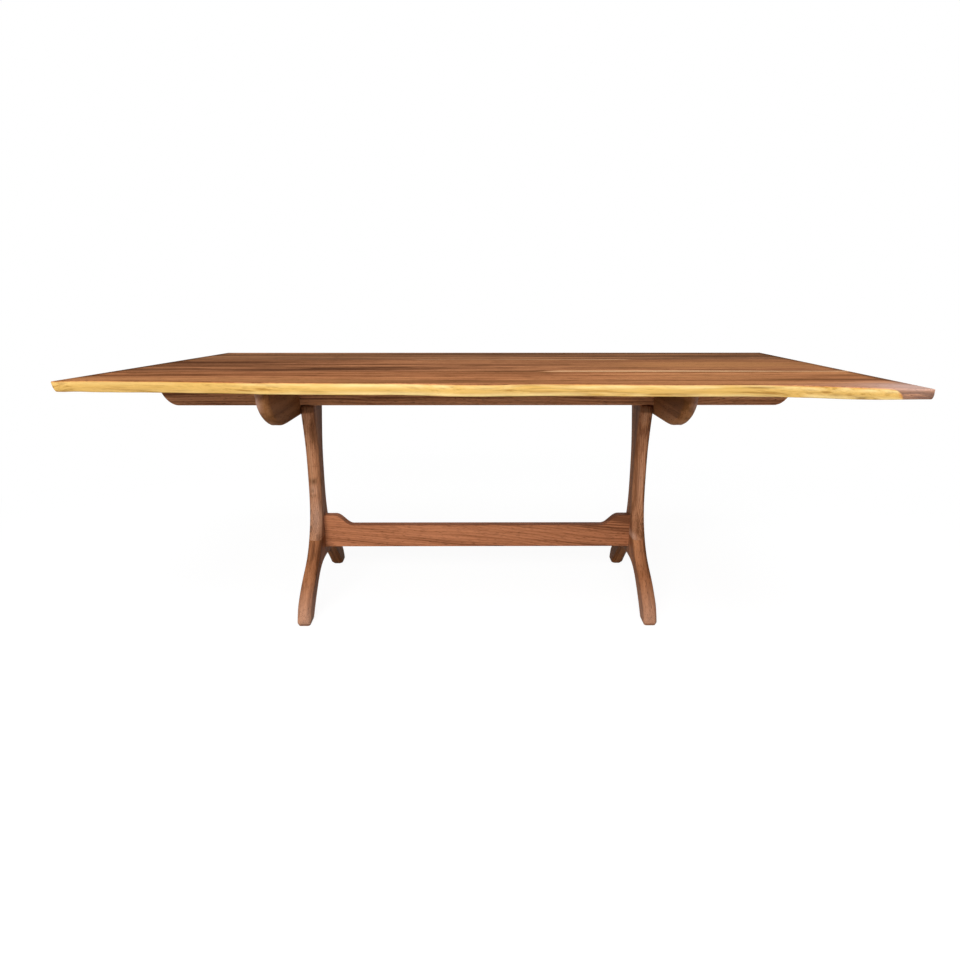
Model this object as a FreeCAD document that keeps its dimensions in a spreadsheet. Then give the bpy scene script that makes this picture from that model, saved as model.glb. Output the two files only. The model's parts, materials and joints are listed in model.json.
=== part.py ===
# Trestle dining table in solid timber with a live front edge. Lengths are millimetres.
# +X runs along the table to the right, +Y to the rear, +Z up. The origin is on the floor,
# below the middle of the box that the table fills.
import FreeCAD, Part
import Sketcher
import os
import re

# Driving sizes
# Each row is a name, a plain number or a formula, and what it measures.
SIZES = [
    ("table_height", "762", "floor to the upper face of the top"),
    ("top_thickness", "32", "thickness of the top's boards"),
    ("top_length", "2086", "length of the top in the trestles' middle plane"),
    ("top_shift", "28", "the top's middle lies this far to the right of the trestles' middle"),
    ("left_lean_share", "0.103", "sideways run of the left end for each unit of depth"),
    ("right_lean_share", "0.055", "sideways run of the right end for each unit of depth"),
    ("rear_reach", "500", "trestles' middle plane to the straight rear edge"),
    ("front_reach_left", "435", "trestles' middle plane to the live edge at the left corner"),
    ("front_reach_right", "592", "trestles' middle plane to the live edge at the right corner"),
    ("live_hollow", "62", "how far the live edge draws in between its corners"),
    ("live_undercut", "14", "how far the live edge leans back at its lower arris"),
    ("seam_rear", "192", "trestles' middle plane to the rear seam"),
    ("seam_front", "205", "trestles' middle plane to the front seam"),
    ("tongue_thickness", "6", "loose tongue in a seam"),
    ("tongue_width", "24", "loose tongue across a seam"),
    ("tongue_stop", "70", "timber left between a tongue's end and the end of the top"),
    ("glue_clearance", "0.1", "room around a tongue or loose tenon in its slot"),
    ("trestle_span", "1054", "middle of one column to the middle of the other"),
    ("column_thickness", "41", "columns and legs, along X"),
    ("neck_depth", "40", "column's neck between the rails, along Y"),
    ("shoulder_depth", "143", "column at its shoulder, along Y"),
    ("waist_depth", "66", "column at its waist, along Y"),
    ("joint_depth", "156", "column at its joint with the legs, along Y"),
    ("joint_rise", "44", "stretcher's lower edge to the joint of column and legs"),
    ("arris_chamfer", "8", "eased long edges of columns and legs"),
    ("foot_reach", "270", "middle plane to the front of a foot on the floor"),
    ("foot_depth", "48", "foot on the floor, along Y"),
    ("crotch_height", "134", "floor to where the two legs part"),
    ("bearer_length", "722", "bearer from front to back"),
    ("bearer_height", "116", "bearer, along Z"),
    ("bearer_thickness", "37", "bearer, along X"),
    ("bearer_sweep_run", "134", "length of the bearer's swept end"),
    ("bearer_sweep_rise", "92", "height of the bearer's swept end"),
    ("rail_length", "1962", "rail from end to end"),
    ("rail_height", "87", "rail, along Z"),
    ("rail_thickness", "38", "rail, along Y"),
    ("rail_sweep_run", "60", "length of the rail's swept end"),
    ("stretcher_bottom", "161", "floor to the stretcher's lower edge"),
    ("stretcher_height", "75", "stretcher between its lifts, along Z"),
    ("stretcher_thickness", "34", "stretcher, along Y"),
    ("stretcher_chamfer", "3", "eased long edges of the stretcher"),
    ("lift_rise", "34", "how much higher the stretcher's ends stand"),
    ("lift_flat", "43", "level part of a lift, beside the column"),
    ("lift_run", "50", "sloping part of a lift"),
    ("tenon_length", "14", "stretcher's stub tenon, along X"),
    ("tenon_thickness", "16", "stretcher's stub tenon, along Y"),
    ("tenon_height", "42", "stretcher's stub tenon, along Z"),
    ("tenon_rise", "29", "joint of column and legs to the middle of the stub tenon and its bolt"),
    ("loose_tenon_thickness", "12", "loose tenon, along X"),
    ("loose_tenon_width", "28", "loose tenon between column and leg, along Y"),
    ("loose_tenon_length", "44", "loose tenon between column and leg, along Z"),
    ("loose_tenon_offset", "34", "middle plane to a loose tenon in the column's joint"),
    ("leg_tenon_length", "30", "loose tenon between two legs, along Y"),
    ("leg_tenon_height", "32", "loose tenon between two legs, along Z"),
    ("bolt_diameter", "8", "connector bolts"),
    ("bolt_head_diameter", "13", "connector bolts"),
    ("bolt_head_height", "8", "connector bolts"),
    ("bolt_socket_width", "6", "hexagon socket in a bolt's head, across its flats"),
    ("bolt_socket_depth", "4", "hexagon socket in a bolt's head"),
    ("bolt_washer_diameter", "18", "washers under the bolts' heads"),
    ("bolt_washer_thickness", "1.6", "washers under the bolts' heads"),
    ("bolt_clearance", "0.2", "room around a bolt's shank"),
    ("counterbore_diameter", "20", "recess for a bolt's head, washer and plug"),
    ("counterbore_depth", "15", "recess for a bolt's head, washer and plug"),
    ("plug_length", "4.5", "timber plug over a bolt's head"),
    ("stretcher_bolt_length", "80", "shank of a bolt in the stretcher"),
    ("barrel_nut_diameter", "14", "cross nut in the stretcher"),
    ("barrel_nut_length", "26", "cross nut in the stretcher"),
    ("barrel_nut_inset", "40", "column's inner face to the cross nut's axis"),
    ("bearer_bolt_length", "38", "shank of a bolt in a bearer"),
    ("bolt_low_share", "0.38", "place of a bearer's lower bolt in the bearer's height"),
    ("bolt_high_share", "0.75", "place of a bearer's upper bolt in the bearer's height"),
    ("insert_diameter", "12", "threaded insert in a column's neck"),
    ("insert_length", "20", "threaded insert in a column's neck"),
    ("lap_screw_diameter", "5", "screws through the cross laps"),
    ("lap_screw_length", "80", "screws through the cross laps"),
    ("screw_head_share", "2", "width of a screw's head for each unit of its diameter"),
    ("screw_tip_share", "1.2", "length of a screw's point for each unit of its diameter"),
    ("screw_clearance", "0.1", "room around a screw's shank"),
    ("top_screw_diameter", "6", "screws that hold the top"),
    ("top_screw_grip", "36", "timber between the top and the washers"),
    ("top_screw_bite", "20", "how far the screws reach into the top"),
    ("top_screw_head_height", "4", "screws that hold the top"),
    ("top_washer_diameter", "16", "washers under those screws' heads"),
    ("top_washer_thickness", "1.5", "washers under those screws' heads"),
    ("top_screw_slot", "8", "travel of the slotted holes in the bearers"),
    ("washer_clearance", "0.5", "room around a washer in its counterbore"),
    ("seam_screw_gap", "40", "a seam of the top to the screws in the bearers"),
    ("rail_screw_near", "260", "table's middle to the inner screws in the rails"),
    ("rail_screw_end", "180", "a rail's end to its outer screw"),
    ("overrun", "2", "how far a cut runs past the face that it opens"),
    # Places that follow from the sizes above
    ("underside", "=table_height - top_thickness", "floor to the lower face of the top"),
    ("bearer_bottom", "=underside - bearer_height", "floor to the bearer's lower edge"),
    ("rail_bottom", "=underside - rail_height", "floor to the rail's lower edge and the column's shoulder"),
    ("lap_level", "=underside - rail_height / 2", "where rail and bearer halve each other"),
    ("rail_offset", "=(neck_depth + rail_thickness) / 2", "middle plane to a rail's middle"),
    ("bearer_offset", "=(trestle_span + column_thickness + bearer_thickness) / 2", "middle to a bearer"),
    ("column_inner", "=(trestle_span - column_thickness) / 2", "middle to a column's inner face"),
    ("column_outer", "=(trestle_span + column_thickness) / 2", "middle to a column's outer face"),
    ("bearer_outer", "=column_outer + bearer_thickness", "middle to a bearer's outer face"),
    ("left_end", "=top_shift - top_length / 2", "left end of the top in the middle plane"),
    ("right_end", "=top_shift + top_length / 2", "right end of the top in the middle plane"),
    ("left_corner", "=left_end - left_lean_share * front_reach_left", "left end of the top at the live edge"),
    ("right_corner", "=right_end + right_lean_share * rear_reach", "right end of the top at the rear edge"),
    ("base_x", "=-(left_corner + right_corner) / 2", "trestles' middle, from the origin"),
    ("base_y", "=(front_reach_right - rear_reach) / 2", "trestles' middle, from the origin"),
    ("joint_height", "=stretcher_bottom + joint_rise", "floor to the joint of column and legs"),
    ("tenon_level", "=joint_height + tenon_rise", "floor to the stub tenon's middle"),
    ("leg_tenon_level", "=(joint_height + crotch_height) / 2", "floor to the tenon between two legs"),
    ("bolt_low", "=bearer_bottom + bearer_height * bolt_low_share", "floor to a bearer's lower bolt"),
    ("bolt_high", "=bearer_bottom + bearer_height * bolt_high_share", "floor to a bearer's upper bolt"),
    ("rail_screw_far", "=rail_length / 2 - rail_screw_end", "table's middle to the rails' outer screws"),
    ("front_screw", "=-(seam_front + seam_screw_gap)", "middle plane to the bearers' front screws"),
    ("rear_screw", "=seam_rear + seam_screw_gap", "middle plane to the bearers' rear screws"),
    ("washer_level", "=underside - top_screw_grip", "floor to the seats of the top's screws"),
]

# Poles of the free curves, as shares of the sizes that they follow
# Live edge: share of the length from the left corner, share of the hollow, share of the undercut.
LIVE_EDGE_SHARES = [(0, 0, 0.8), (0.02, 0.37, 0.9), (0.07, 0.31, 1), (0.16, 0.44, 1), (0.26, 0.13, 1),
                    (0.36, 0.25, 1), (0.43, 0.45, 1), (0.5, -0.07, 1), (0.56, 0.52, 1), (0.64, 0.61, 1),
                    (0.73, 0.61, 1), (0.82, 0.97, 1), (0.9, 0.76, 1), (0.96, -0.04, 0.7), (1, 0, 0.35)]
# Column above its waist: share of the widening to the shoulder, share of the column's height.
COLUMN_UPPER_SHARES = [(0.43, 0.805), (0.05, 0.663)]
# Column at and below its waist: share of the widening to the joint, share of the column's height.
COLUMN_LOWER_SHARES = [(0, 0.493), (0.02, 0.322), (0.24, 0.161), (0.58, 0.071)]
# Front of a leg: share of the way from the joint out to the foot, share of the joint's height.
LEG_FRONT_SHARES = [(0.1, 0.86), (0.31, 0.69), (0.6, 0.55), (0.86, 0.35), (1, 0.19)]
# Arch under the legs: share of the way from the foot in to the middle, share of the crotch's height.
LEG_ARCH_SHARES = [(0.13, 0.25), (0.36, 0.62), (0.6, 0.94), (0.82, 1)]
# Swept ends: share of the run, share of the rise.
BEARER_SWEEP_SHARES = [(0.41, 0), (1, 0.52)]
RAIL_SWEEP_SHARES = [(0.55, 0), (1, 0.45)]
LIFT_SWEEP_SHARES = [(0.35, 0), (0.65, 1)]

doc = FreeCAD.newDocument("trestle_dining_table")
sheet = doc.addObject("Spreadsheet::Sheet", "sizes")
for row, (alias, value, meaning) in enumerate(SIZES, start=1):
    sheet.set(f"A{row}", meaning)
    sheet.set(f"B{row}", value)
    sheet.setAlias(f"B{row}", alias)
doc.recompute()

ALIASES = {alias for alias, value, meaning in SIZES}
pieces = []


# Helpers
def of_sheet(formula):
    """The formula with each size's name pointing at the sheet."""
    return re.sub(r"[a-z_]+", lambda word: f"sizes.{word[0]}" if word[0] in ALIASES else word[0], formula)


def number(formula):
    return float(sheet.evalExpression(of_sheet(formula)))


def bind(thing, **formulas):
    for name, formula in formulas.items():
        thing.setExpression(name, of_sheet(formula))
    return thing


def put(thing, x="0", y="0", z="0"):
    """Place a thing by its distances from the trestles' middle on the floor."""
    thing.setExpression("Placement.Base.x", of_sheet(f"base_x + ({x})"))
    thing.setExpression("Placement.Base.y", of_sheet(f"base_y + ({y})"))
    thing.setExpression("Placement.Base.z", of_sheet(z))
    return thing


def new_body(name):
    return doc.addObject("PartDesign::Body", name)


def new_sketch(body, name, plane_role, level=None):
    """A sketch on one of the body's own planes, raised by a level where one is given."""
    sketch = body.newObject("Sketcher::SketchObject", name)
    plane = next(p for p in body.Origin.OriginFeatures if p.Role == plane_role)
    sketch.AttachmentSupport = [(plane, "")]
    sketch.MapMode = "FlatFace"
    if level:
        sketch.setExpression("AttachmentOffset.Base.z", of_sheet(level))
    return sketch


def locate(sketch, geometry, end, point):
    """Tie one end of a line, or the middle of a pole's circle, to two formulas."""
    for kind, axis, formula in (("DistanceX", -2, point[0]), ("DistanceY", -1, point[1])):
        if formula == "0":
            sketch.addConstraint(Sketcher.Constraint("PointOnObject", geometry, end, axis))
        else:
            index = sketch.addConstraint(Sketcher.Constraint(kind, -1, 1, geometry, end, number(formula)))
            sketch.setExpression(f"Constraints[{index}]", of_sheet(formula))


def draw_outline(sketch, runs):
    """A closed outline. Each run is a list of points, from where the last run ended: two points
    make a straight line, more make a smooth curve with those poles."""
    ends = []
    for points in runs:
        places = [FreeCAD.Vector(number(x), number(y), 0) for x, y in points]
        if len(points) == 2:
            ends.append(sketch.addGeometry(Part.LineSegment(*places)))
            continue
        curve = Part.BSplineCurve()
        curve.buildFromPoles(places, False, 3)
        run = sketch.addGeometry(curve)
        ends.append(run)
        circles = [sketch.addGeometry(Part.Circle(p, FreeCAD.Vector(0, 0, 1), 1), True) for p in places]
        sketch.addConstraint(Sketcher.Constraint("Weight", circles[0], 1.0))
        for pole, circle in enumerate(circles):
            if pole:
                sketch.addConstraint(Sketcher.Constraint("Equal", circles[0], circle))
            kind = "InternalAlignment:Sketcher::BSplineControlPoint"
            sketch.addConstraint(Sketcher.Constraint(kind, circle, 3, run, pole))
            if 0 < pole < len(points) - 1:
                locate(sketch, circle, 3, points[pole])
    for run, points in enumerate(runs):
        sketch.addConstraint(Sketcher.Constraint("Coincident", ends[run - 1], 2, ends[run], 1))
        locate(sketch, ends[run], 1, points[0])


def pad_both_ways(body, sketch, thickness):
    pad = body.newObject("PartDesign::Pad", body.Name + "_pad")
    pad.Profile = sketch
    pad.SideType = "Symmetric"
    bind(pad, Length=thickness)
    doc.recompute()
    return pad


def mirror(body, feature, plane_role):
    copy = body.newObject("PartDesign::Mirrored", body.Name + "_mirror")
    copy.Originals = [feature]
    copy.MirrorPlane = (next(p for p in body.Origin.OriginFeatures if p.Role == plane_role), [""])
    body.Tip = copy
    doc.recompute()
    return copy


def ease(body, feature, size, wanted):
    """Chamfer those edges of a feature that the test picks."""
    chamfer = body.newObject("PartDesign::Chamfer", body.Name + "_arris")
    edges = [f"Edge{n}" for n, edge in enumerate(feature.Shape.Edges, start=1) if wanted(edge)]
    chamfer.Base = (feature, edges)
    bind(chamfer, Size=size)
    doc.recompute()
    return chamfer


def block(name, lengths, middle_x, middle_y, low_z):
    """A box from its sizes along X, Y and Z, the middle of its base and its lower face."""
    box = bind(doc.addObject("Part::Box", name), Length=lengths[0], Width=lengths[1], Height=lengths[2])
    return put(box, f"{middle_x} - ({lengths[0]}) / 2", f"{middle_y} - ({lengths[1]}) / 2", low_z)


TURNS = {
    "+X": FreeCAD.Rotation(FreeCAD.Vector(0, 1, 0), 90),
    "-X": FreeCAD.Rotation(FreeCAD.Vector(0, 1, 0), -90),
    "+Y": FreeCAD.Rotation(FreeCAD.Vector(1, 0, 0), -90),
    "+Z": FreeCAD.Rotation(),
    "-Z": FreeCAD.Rotation(FreeCAD.Vector(1, 0, 0), 180),
}


def turned(thing, way, x, y, z):
    """Point a round thing's axis a given way from its place."""
    thing.Placement = FreeCAD.Placement(FreeCAD.Vector(), TURNS[way])
    return put(thing, x, y, z)


def rod(name, diameter, length, way, x, y, z):
    cylinder = doc.addObject("Part::Cylinder", name)
    bind(cylinder, Radius=f"({diameter}) / 2", Height=length)
    return turned(cylinder, way, x, y, z)


def taper(name, first, last, length, way, x, y, z):
    cone = doc.addObject("Part::Cone", name)
    bind(cone, Radius1=f"({first}) / 2", Radius2=f"({last}) / 2", Height=length)
    return turned(cone, way, x, y, z)


def hexagon(name, across_flats, length, way, x, y, z):
    prism = doc.addObject("Part::Prism", name)
    prism.Polygon = 6
    bind(prism, Circumradius=f"({across_flats}) / 2 / cos(30)", Height=length)
    return turned(prism, way, x, y, z)


def fuse(name, things):
    whole = doc.addObject("Part::MultiFuse", name)
    whole.Shapes = things
    return whole


def cut(name, base, tools):
    rest = doc.addObject("Part::Cut", name)
    rest.Base = base
    rest.Tool = tools[0] if len(tools) == 1 else fuse(name + "_cuts", tools)
    return rest


def piece(name, thing):
    """Keep a finished thing as a named piece of the table."""
    thing.Label = name
    pieces.append(thing)
    return thing


def group(name, things):
    """Keep several like things as one named piece."""
    whole = doc.addObject("Part::Compound", name + "_group")
    whole.Links = things
    return piece(name, whole)


SIDES = (("left", "-"), ("right", "+"))
ENDS = (("front", "-"), ("rear", "+"))
LEVELS = ("low", "high")
INWARD = {"left": "+X", "right": "-X"}
HALF_TURN = {"rear": "0", "front": "180"}


# Connector bolts, with the room that they need
def make_bolt(name, side, seat, shank, y, z):
    """A bolt along X that points at the table's middle, its washer and its plug. The seat is the
    distance from the middle to the face that the washer lies on."""
    sign = dict(SIDES)[side]
    way = INWARD[side]
    washer = rod(name + "_washer", "bolt_washer_diameter", "bolt_washer_thickness", way,
                 f"{sign}({seat} + bolt_washer_thickness)", y, z)
    eye = rod(name + "_eye", "bolt_diameter + 2 * bolt_clearance", "bolt_washer_thickness + 2 * overrun", way,
              f"{sign}({seat} + bolt_washer_thickness + overrun)", y, z)
    top = f"{seat} + bolt_washer_thickness + bolt_head_height"
    head = rod(name + "_head", "bolt_head_diameter", "bolt_head_height", way, f"{sign}({top})", y, z)
    stem = rod(name + "_stem", "bolt_diameter", f"{shank} + bolt_head_height", way, f"{sign}({top})", y, z)
    socket = hexagon(name + "_socket", "bolt_socket_width", "bolt_socket_depth + overrun", way,
                     f"{sign}({top} + overrun)", y, z)
    bolt = cut(name + "_bolt", fuse(name + "_solid", [head, stem]), [socket])
    face = f"{seat} + counterbore_depth"
    plug = rod(name + "_plug", "counterbore_diameter - 2 * glue_clearance", "plug_length", way,
               f"{sign}({face})", y, z)
    bore = rod(name + "_bore", "bolt_diameter + 2 * bolt_clearance", f"{shank} + overrun", way,
               f"{sign}({seat} + bolt_washer_thickness)", y, z)
    recess = rod(name + "_recess", "counterbore_diameter", "counterbore_depth + overrun", way,
                 f"{sign}({face} + overrun)", y, z)
    return {"bolt": bolt, "washer": cut(name + "_ring", washer, [eye]), "plug": plug, "bore": bore,
            "recess": recess}


stretcher_bolts = {side: make_bolt(f"stretcher_{side}", side, "column_outer - counterbore_depth",
                                   "stretcher_bolt_length", "0", "tenon_level") for side, sign in SIDES}
bearer_bolts = {side: [make_bolt(f"bearer_{side}_{level}", side, "bearer_outer - counterbore_depth",
                                 "bearer_bolt_length", "0", f"bolt_{level}") for level in LEVELS]
                for side, sign in SIDES}


# Screws of the cross laps, driven down through the rail into the bearer
def make_lap_screw(name, x, y):
    wide = "lap_screw_diameter * screw_head_share"
    slope = "(lap_screw_diameter * screw_head_share - lap_screw_diameter) / 2"
    tip = "lap_screw_diameter * screw_tip_share"
    head = taper(name + "_head", wide, "lap_screw_diameter", slope, "-Z", x, y, "underside")
    stem = rod(name + "_stem", "lap_screw_diameter", f"lap_screw_length - {tip}", "-Z", x, y, "underside")
    point = taper(name + "_point", "lap_screw_diameter", "0", tip, "-Z", x, y,
                  f"underside - lap_screw_length + {tip}")
    sink = taper(name + "_sink", f"{wide} + 2 * screw_clearance", "lap_screw_diameter + 2 * screw_clearance",
                 slope, "-Z", x, y, "underside")
    hole = rod(name + "_hole", "lap_screw_diameter + 2 * screw_clearance", "lap_screw_length + overrun", "-Z",
               x, y, "underside + overrun")
    return {"screw": fuse(name, [head, stem, point]), "room": [sink, hole]}


lap_screws = {(side, end): make_lap_screw(f"lap_screw_{side}_{end}", f"{sx}bearer_offset", f"{sy}rail_offset")
              for side, sx in SIDES for end, sy in ENDS}


# Screws that hold the top, with washers in deep counterbores
def make_top_screw(name, x, y, bottom, slotted):
    tip = "top_screw_diameter * screw_tip_share"
    seat = "washer_level - top_washer_thickness"
    washer = rod(name + "_washer", "top_washer_diameter", "top_washer_thickness", "-Z", x, y, "washer_level")
    eye = rod(name + "_eye", "top_screw_diameter + 2 * screw_clearance", "top_washer_thickness + 2 * overrun",
              "-Z", x, y, "washer_level + overrun")
    head = rod(name + "_head", "top_screw_diameter * screw_head_share", "top_screw_head_height", "-Z",
               x, y, seat)
    stem = rod(name + "_stem", "top_screw_diameter",
               f"top_washer_thickness + top_screw_grip + top_screw_bite - {tip}", "+Z", x, y, seat)
    point = taper(name + "_point", "top_screw_diameter", "0", tip, "+Z", x, y,
                  f"underside + top_screw_bite - {tip}")
    wide = "top_washer_diameter + 2 * washer_clearance"
    thin = "top_screw_diameter + 2 * screw_clearance"
    deep = f"washer_level - ({bottom}) + overrun"
    low = f"{bottom} - overrun"
    room = [rod(name + "_counterbore", wide, deep, "+Z", x, y, low),
            rod(name + "_hole", thin, "top_screw_grip + overrun", "+Z", x, y, "washer_level")]
    if slotted:
        for end, sign in ENDS:
            room += [rod(f"{name}_{end}_hole", thin, "top_screw_grip + overrun", "+Z", x,
                         f"{y} {sign} top_screw_slot / 2", "washer_level"),
                     rod(f"{name}_{end}_counterbore", wide, deep, "+Z", x,
                         f"{y} {sign} top_screw_slot / 2", low)]
        room += [block(name + "_slot", (thin, "top_screw_slot", "top_screw_grip + overrun"), x, y,
                       "washer_level"),
                 block(name + "_trough", (wide, "top_screw_slot", deep), x, y, low)]
    pilot = rod(name + "_pilot", "top_screw_diameter + 2 * screw_clearance", "top_screw_bite + overrun", "+Z",
                x, y, "underside")
    return {"screw": fuse(name, [head, stem, point]), "washer": cut(name + "_ring", washer, [eye]),
            "room": room, "pilot": pilot}


bearer_screws = {(side, end): make_top_screw(f"top_screw_{side}_{end}", f"{sx}bearer_offset",
                                             f"{end}_screw", "bearer_bottom", True)
                 for side, sx in SIDES for end, sy in ENDS}
rail_screws = {end: [make_top_screw(f"top_screw_{end}_{side}_{place}", f"{sx}rail_screw_{place}",
                                    f"{sy}rail_offset", "rail_bottom", False)
                     for side, sx in SIDES for place in ("near", "far")] for end, sy in ENDS}
top_pilots = [screw["pilot"] for screw in bearer_screws.values()]
top_pilots += [screw["pilot"] for screws in rail_screws.values() for screw in screws]


# Top
def end_x(side, y):
    """The top's left or right end at a distance from the trestles' middle plane."""
    return f"({side}_end + {side}_lean_share * ({y}))"


def live_edge(setback):
    """Poles of the live edge from left to right, each drawn back by its share of a setback."""
    poles = []
    for along, hollow, back in LIVE_EDGE_SHARES:
        y = f"-front_reach_left - (front_reach_right - front_reach_left) * {along} + live_hollow * {hollow}"
        x = f"{end_x('left', y)} * (1 - {along}) + {end_x('right', y)} * {along}"
        poles.append((x, f"{y} + {setback} * {back}"))
    return poles


def make_tongue(name, seam):
    """A loose tongue halfway down a seam and the slot that it lies in."""
    spare = "2 * tongue_stop + (left_lean_share + right_lean_share) * (rear_reach + front_reach_right)"
    half = "(table_height + underside) / 2"
    tongue = block(name, (f"top_length - ({spare})", "tongue_width", "tongue_thickness"), "top_shift", seam,
                   f"{half} - tongue_thickness / 2")
    room = [f"top_length - ({spare}) + 2 * glue_clearance", "tongue_width + 2 * glue_clearance",
            "tongue_thickness + 2 * glue_clearance"]
    slot = block(name + "_slot", room, "top_shift", seam, f"{half} - tongue_thickness / 2 - glue_clearance")
    return piece(name, tongue), slot


front_tongue, front_slot = make_tongue("loose_tongue_front", "-seam_front")
rear_tongue, rear_slot = make_tongue("loose_tongue_rear", "seam_rear")


def make_straight_board(name, front, rear, slots):
    body = put(new_body(name + "_body"))
    sketch = new_sketch(body, name + "_plan", "XY_Plane", "underside")
    corners = [(end_x("left", front), front), (end_x("right", front), front),
               (end_x("right", rear), rear), (end_x("left", rear), rear)]
    draw_outline(sketch, [[corners[n], corners[(n + 1) % 4]] for n in range(4)])
    pad = body.newObject("PartDesign::Pad", name + "_pad")
    pad.Profile = sketch
    bind(pad, Length="top_thickness")
    doc.recompute()
    return piece(name, cut(name, body, slots + top_pilots))


def make_live_board(name, seam, slots):
    """The live edge leans back, so its board is lofted between two plans."""
    body = put(new_body(name + "_body"))
    plans = []
    for label, level, setback in (("upper", "table_height", "0"), ("lower", "underside", "live_undercut")):
        sketch = new_sketch(body, f"{name}_{label}", "XY_Plane", level)
        edge = live_edge(setback)
        corners = [(end_x("right", seam), seam), (end_x("left", seam), seam)]
        draw_outline(sketch, [edge, [edge[-1], corners[0]], corners, [corners[1], edge[0]]])
        plans.append(sketch)
    doc.recompute()
    loft = body.newObject("PartDesign::AdditiveLoft", name + "_loft")
    loft.Profile = plans[0]
    loft.Sections = plans[1:]
    loft.Ruled = True
    doc.recompute()
    return piece(name, cut(name, body, slots + top_pilots))


make_live_board("top_board_front", "-seam_front", [front_slot])
make_straight_board("top_board_middle", "-seam_front", "seam_rear", [front_slot, rear_slot])
make_straight_board("top_board_rear", "seam_rear", "rear_reach", [rear_slot])


# Rails, which run the length of the table on both sides of the columns' necks
def make_rail(end, sign):
    name = f"rail_{end}"
    body = put(new_body(name + "_body"), y=f"{sign}rail_offset")
    sketch = new_sketch(body, name + "_side", "XZ_Plane")
    flat = "(rail_length / 2 - rail_sweep_run)"
    sweep = [(flat, "rail_bottom")]
    sweep += [(f"{flat} + rail_sweep_run * {run}", f"rail_bottom + rail_height * {rise}")
              for run, rise in RAIL_SWEEP_SHARES]
    sweep += [("rail_length / 2", "underside")]
    draw_outline(sketch, [[("0", "rail_bottom"), sweep[0]], sweep, [sweep[-1], ("0", "underside")],
                          [("0", "underside"), ("0", "rail_bottom")]])
    mirror(body, pad_both_ways(body, sketch, "rail_thickness"), "YZ_Plane")
    notch = ("bearer_thickness", "rail_thickness + 2 * overrun", "lap_level - rail_bottom + overrun")
    notches = [block(f"{name}_{side}_notch", notch, f"{sx}bearer_offset", f"{sign}rail_offset",
                     "rail_bottom - overrun") for side, sx in SIDES]
    holes = [tool for side, sx in SIDES for tool in lap_screws[side, end]["room"]]
    holes += [tool for screw in rail_screws[end] for tool in screw["room"]]
    return piece(name, cut(name, body, notches + holes))


for end, sign in ENDS:
    make_rail(end, sign)


# Bearers, which lie on the columns' outer faces and carry the top from front to back
def make_bearer(side, sign):
    name = f"bearer_{side}"
    body = put(new_body(name + "_body"), x=f"{sign}bearer_offset")
    sketch = new_sketch(body, name + "_side", "YZ_Plane")
    flat = "(bearer_length / 2 - bearer_sweep_run)"
    sweep = [(flat, "bearer_bottom")]
    sweep += [(f"{flat} + bearer_sweep_run * {run}", f"bearer_bottom + bearer_sweep_rise * {rise}")
              for run, rise in BEARER_SWEEP_SHARES]
    sweep += [("bearer_length / 2", "bearer_bottom + bearer_sweep_rise")]
    corner = ("bearer_length / 2", "underside")
    draw_outline(sketch, [[("0", "bearer_bottom"), sweep[0]], sweep, [sweep[-1], corner],
                          [corner, ("0", "underside")], [("0", "underside"), ("0", "bearer_bottom")]])
    mirror(body, pad_both_ways(body, sketch, "bearer_thickness"), "XZ_Plane")
    notch = ("bearer_thickness + 2 * overrun", "rail_thickness", "underside - lap_level + overrun")
    notches = [block(f"{name}_{end}_notch", notch, f"{sign}bearer_offset", f"{sy}rail_offset", "lap_level")
               for end, sy in ENDS]
    holes = [tool for end, sy in ENDS for screws in (lap_screws, bearer_screws)
             for tool in screws[side, end]["room"]]
    holes += [bolt[part] for bolt in bearer_bolts[side] for part in ("bore", "recess")]
    return piece(name, cut(name, body, notches + holes))


for side, sign in SIDES:
    make_bearer(side, sign)


# Loose tenons between column and legs
def make_loose_tenons(side, sign):
    x = f"{sign}trestle_span / 2"
    places = [(end, ("loose_tenon_thickness", "loose_tenon_width", "loose_tenon_length"),
               f"{sy}loose_tenon_offset", "joint_height - loose_tenon_length / 2") for end, sy in ENDS]
    places += [("middle", ("loose_tenon_thickness", "leg_tenon_length", "leg_tenon_height"), "0",
                "leg_tenon_level - leg_tenon_height / 2")]
    tenons = [block(f"loose_tenon_{side}_{place}", lengths, x, y, low) for place, lengths, y, low in places]
    slots = [block(f"loose_slot_{side}_{place}", [f"{length} + 2 * glue_clearance" for length in lengths],
                   x, y, f"{low} - glue_clearance") for place, lengths, y, low in places]
    group(f"loose_tenons_{side}", tenons)
    return slots


loose_slots = {side: make_loose_tenons(side, sign) for side, sign in SIDES}


# Columns
def make_inserts(side, sign):
    """Threaded inserts in the neck for the bearer's bolts, and the bores that they sit in."""
    inserts = []
    bores = []
    for level, bolt in zip(LEVELS, bearer_bolts[side]):
        name = f"insert_{side}_{level}"
        sleeve = rod(name, "insert_diameter", "insert_length", INWARD[side], f"{sign}column_outer", "0",
                     f"bolt_{level}")
        inserts.append(cut(name + "_sleeve", sleeve, [bolt["bore"]]))
        room = rod(name + "_bore", "insert_diameter + 2 * glue_clearance", "insert_length + overrun",
                   INWARD[side], f"{sign}(column_outer + overrun)", "0", f"bolt_{level}")
        bores += [room, bolt["bore"]]
    return inserts, bores


def is_long_arris(edge):
    """A curved edge that lies in one of the two broad faces."""
    return isinstance(edge.Curve, Part.BSplineCurve)


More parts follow.
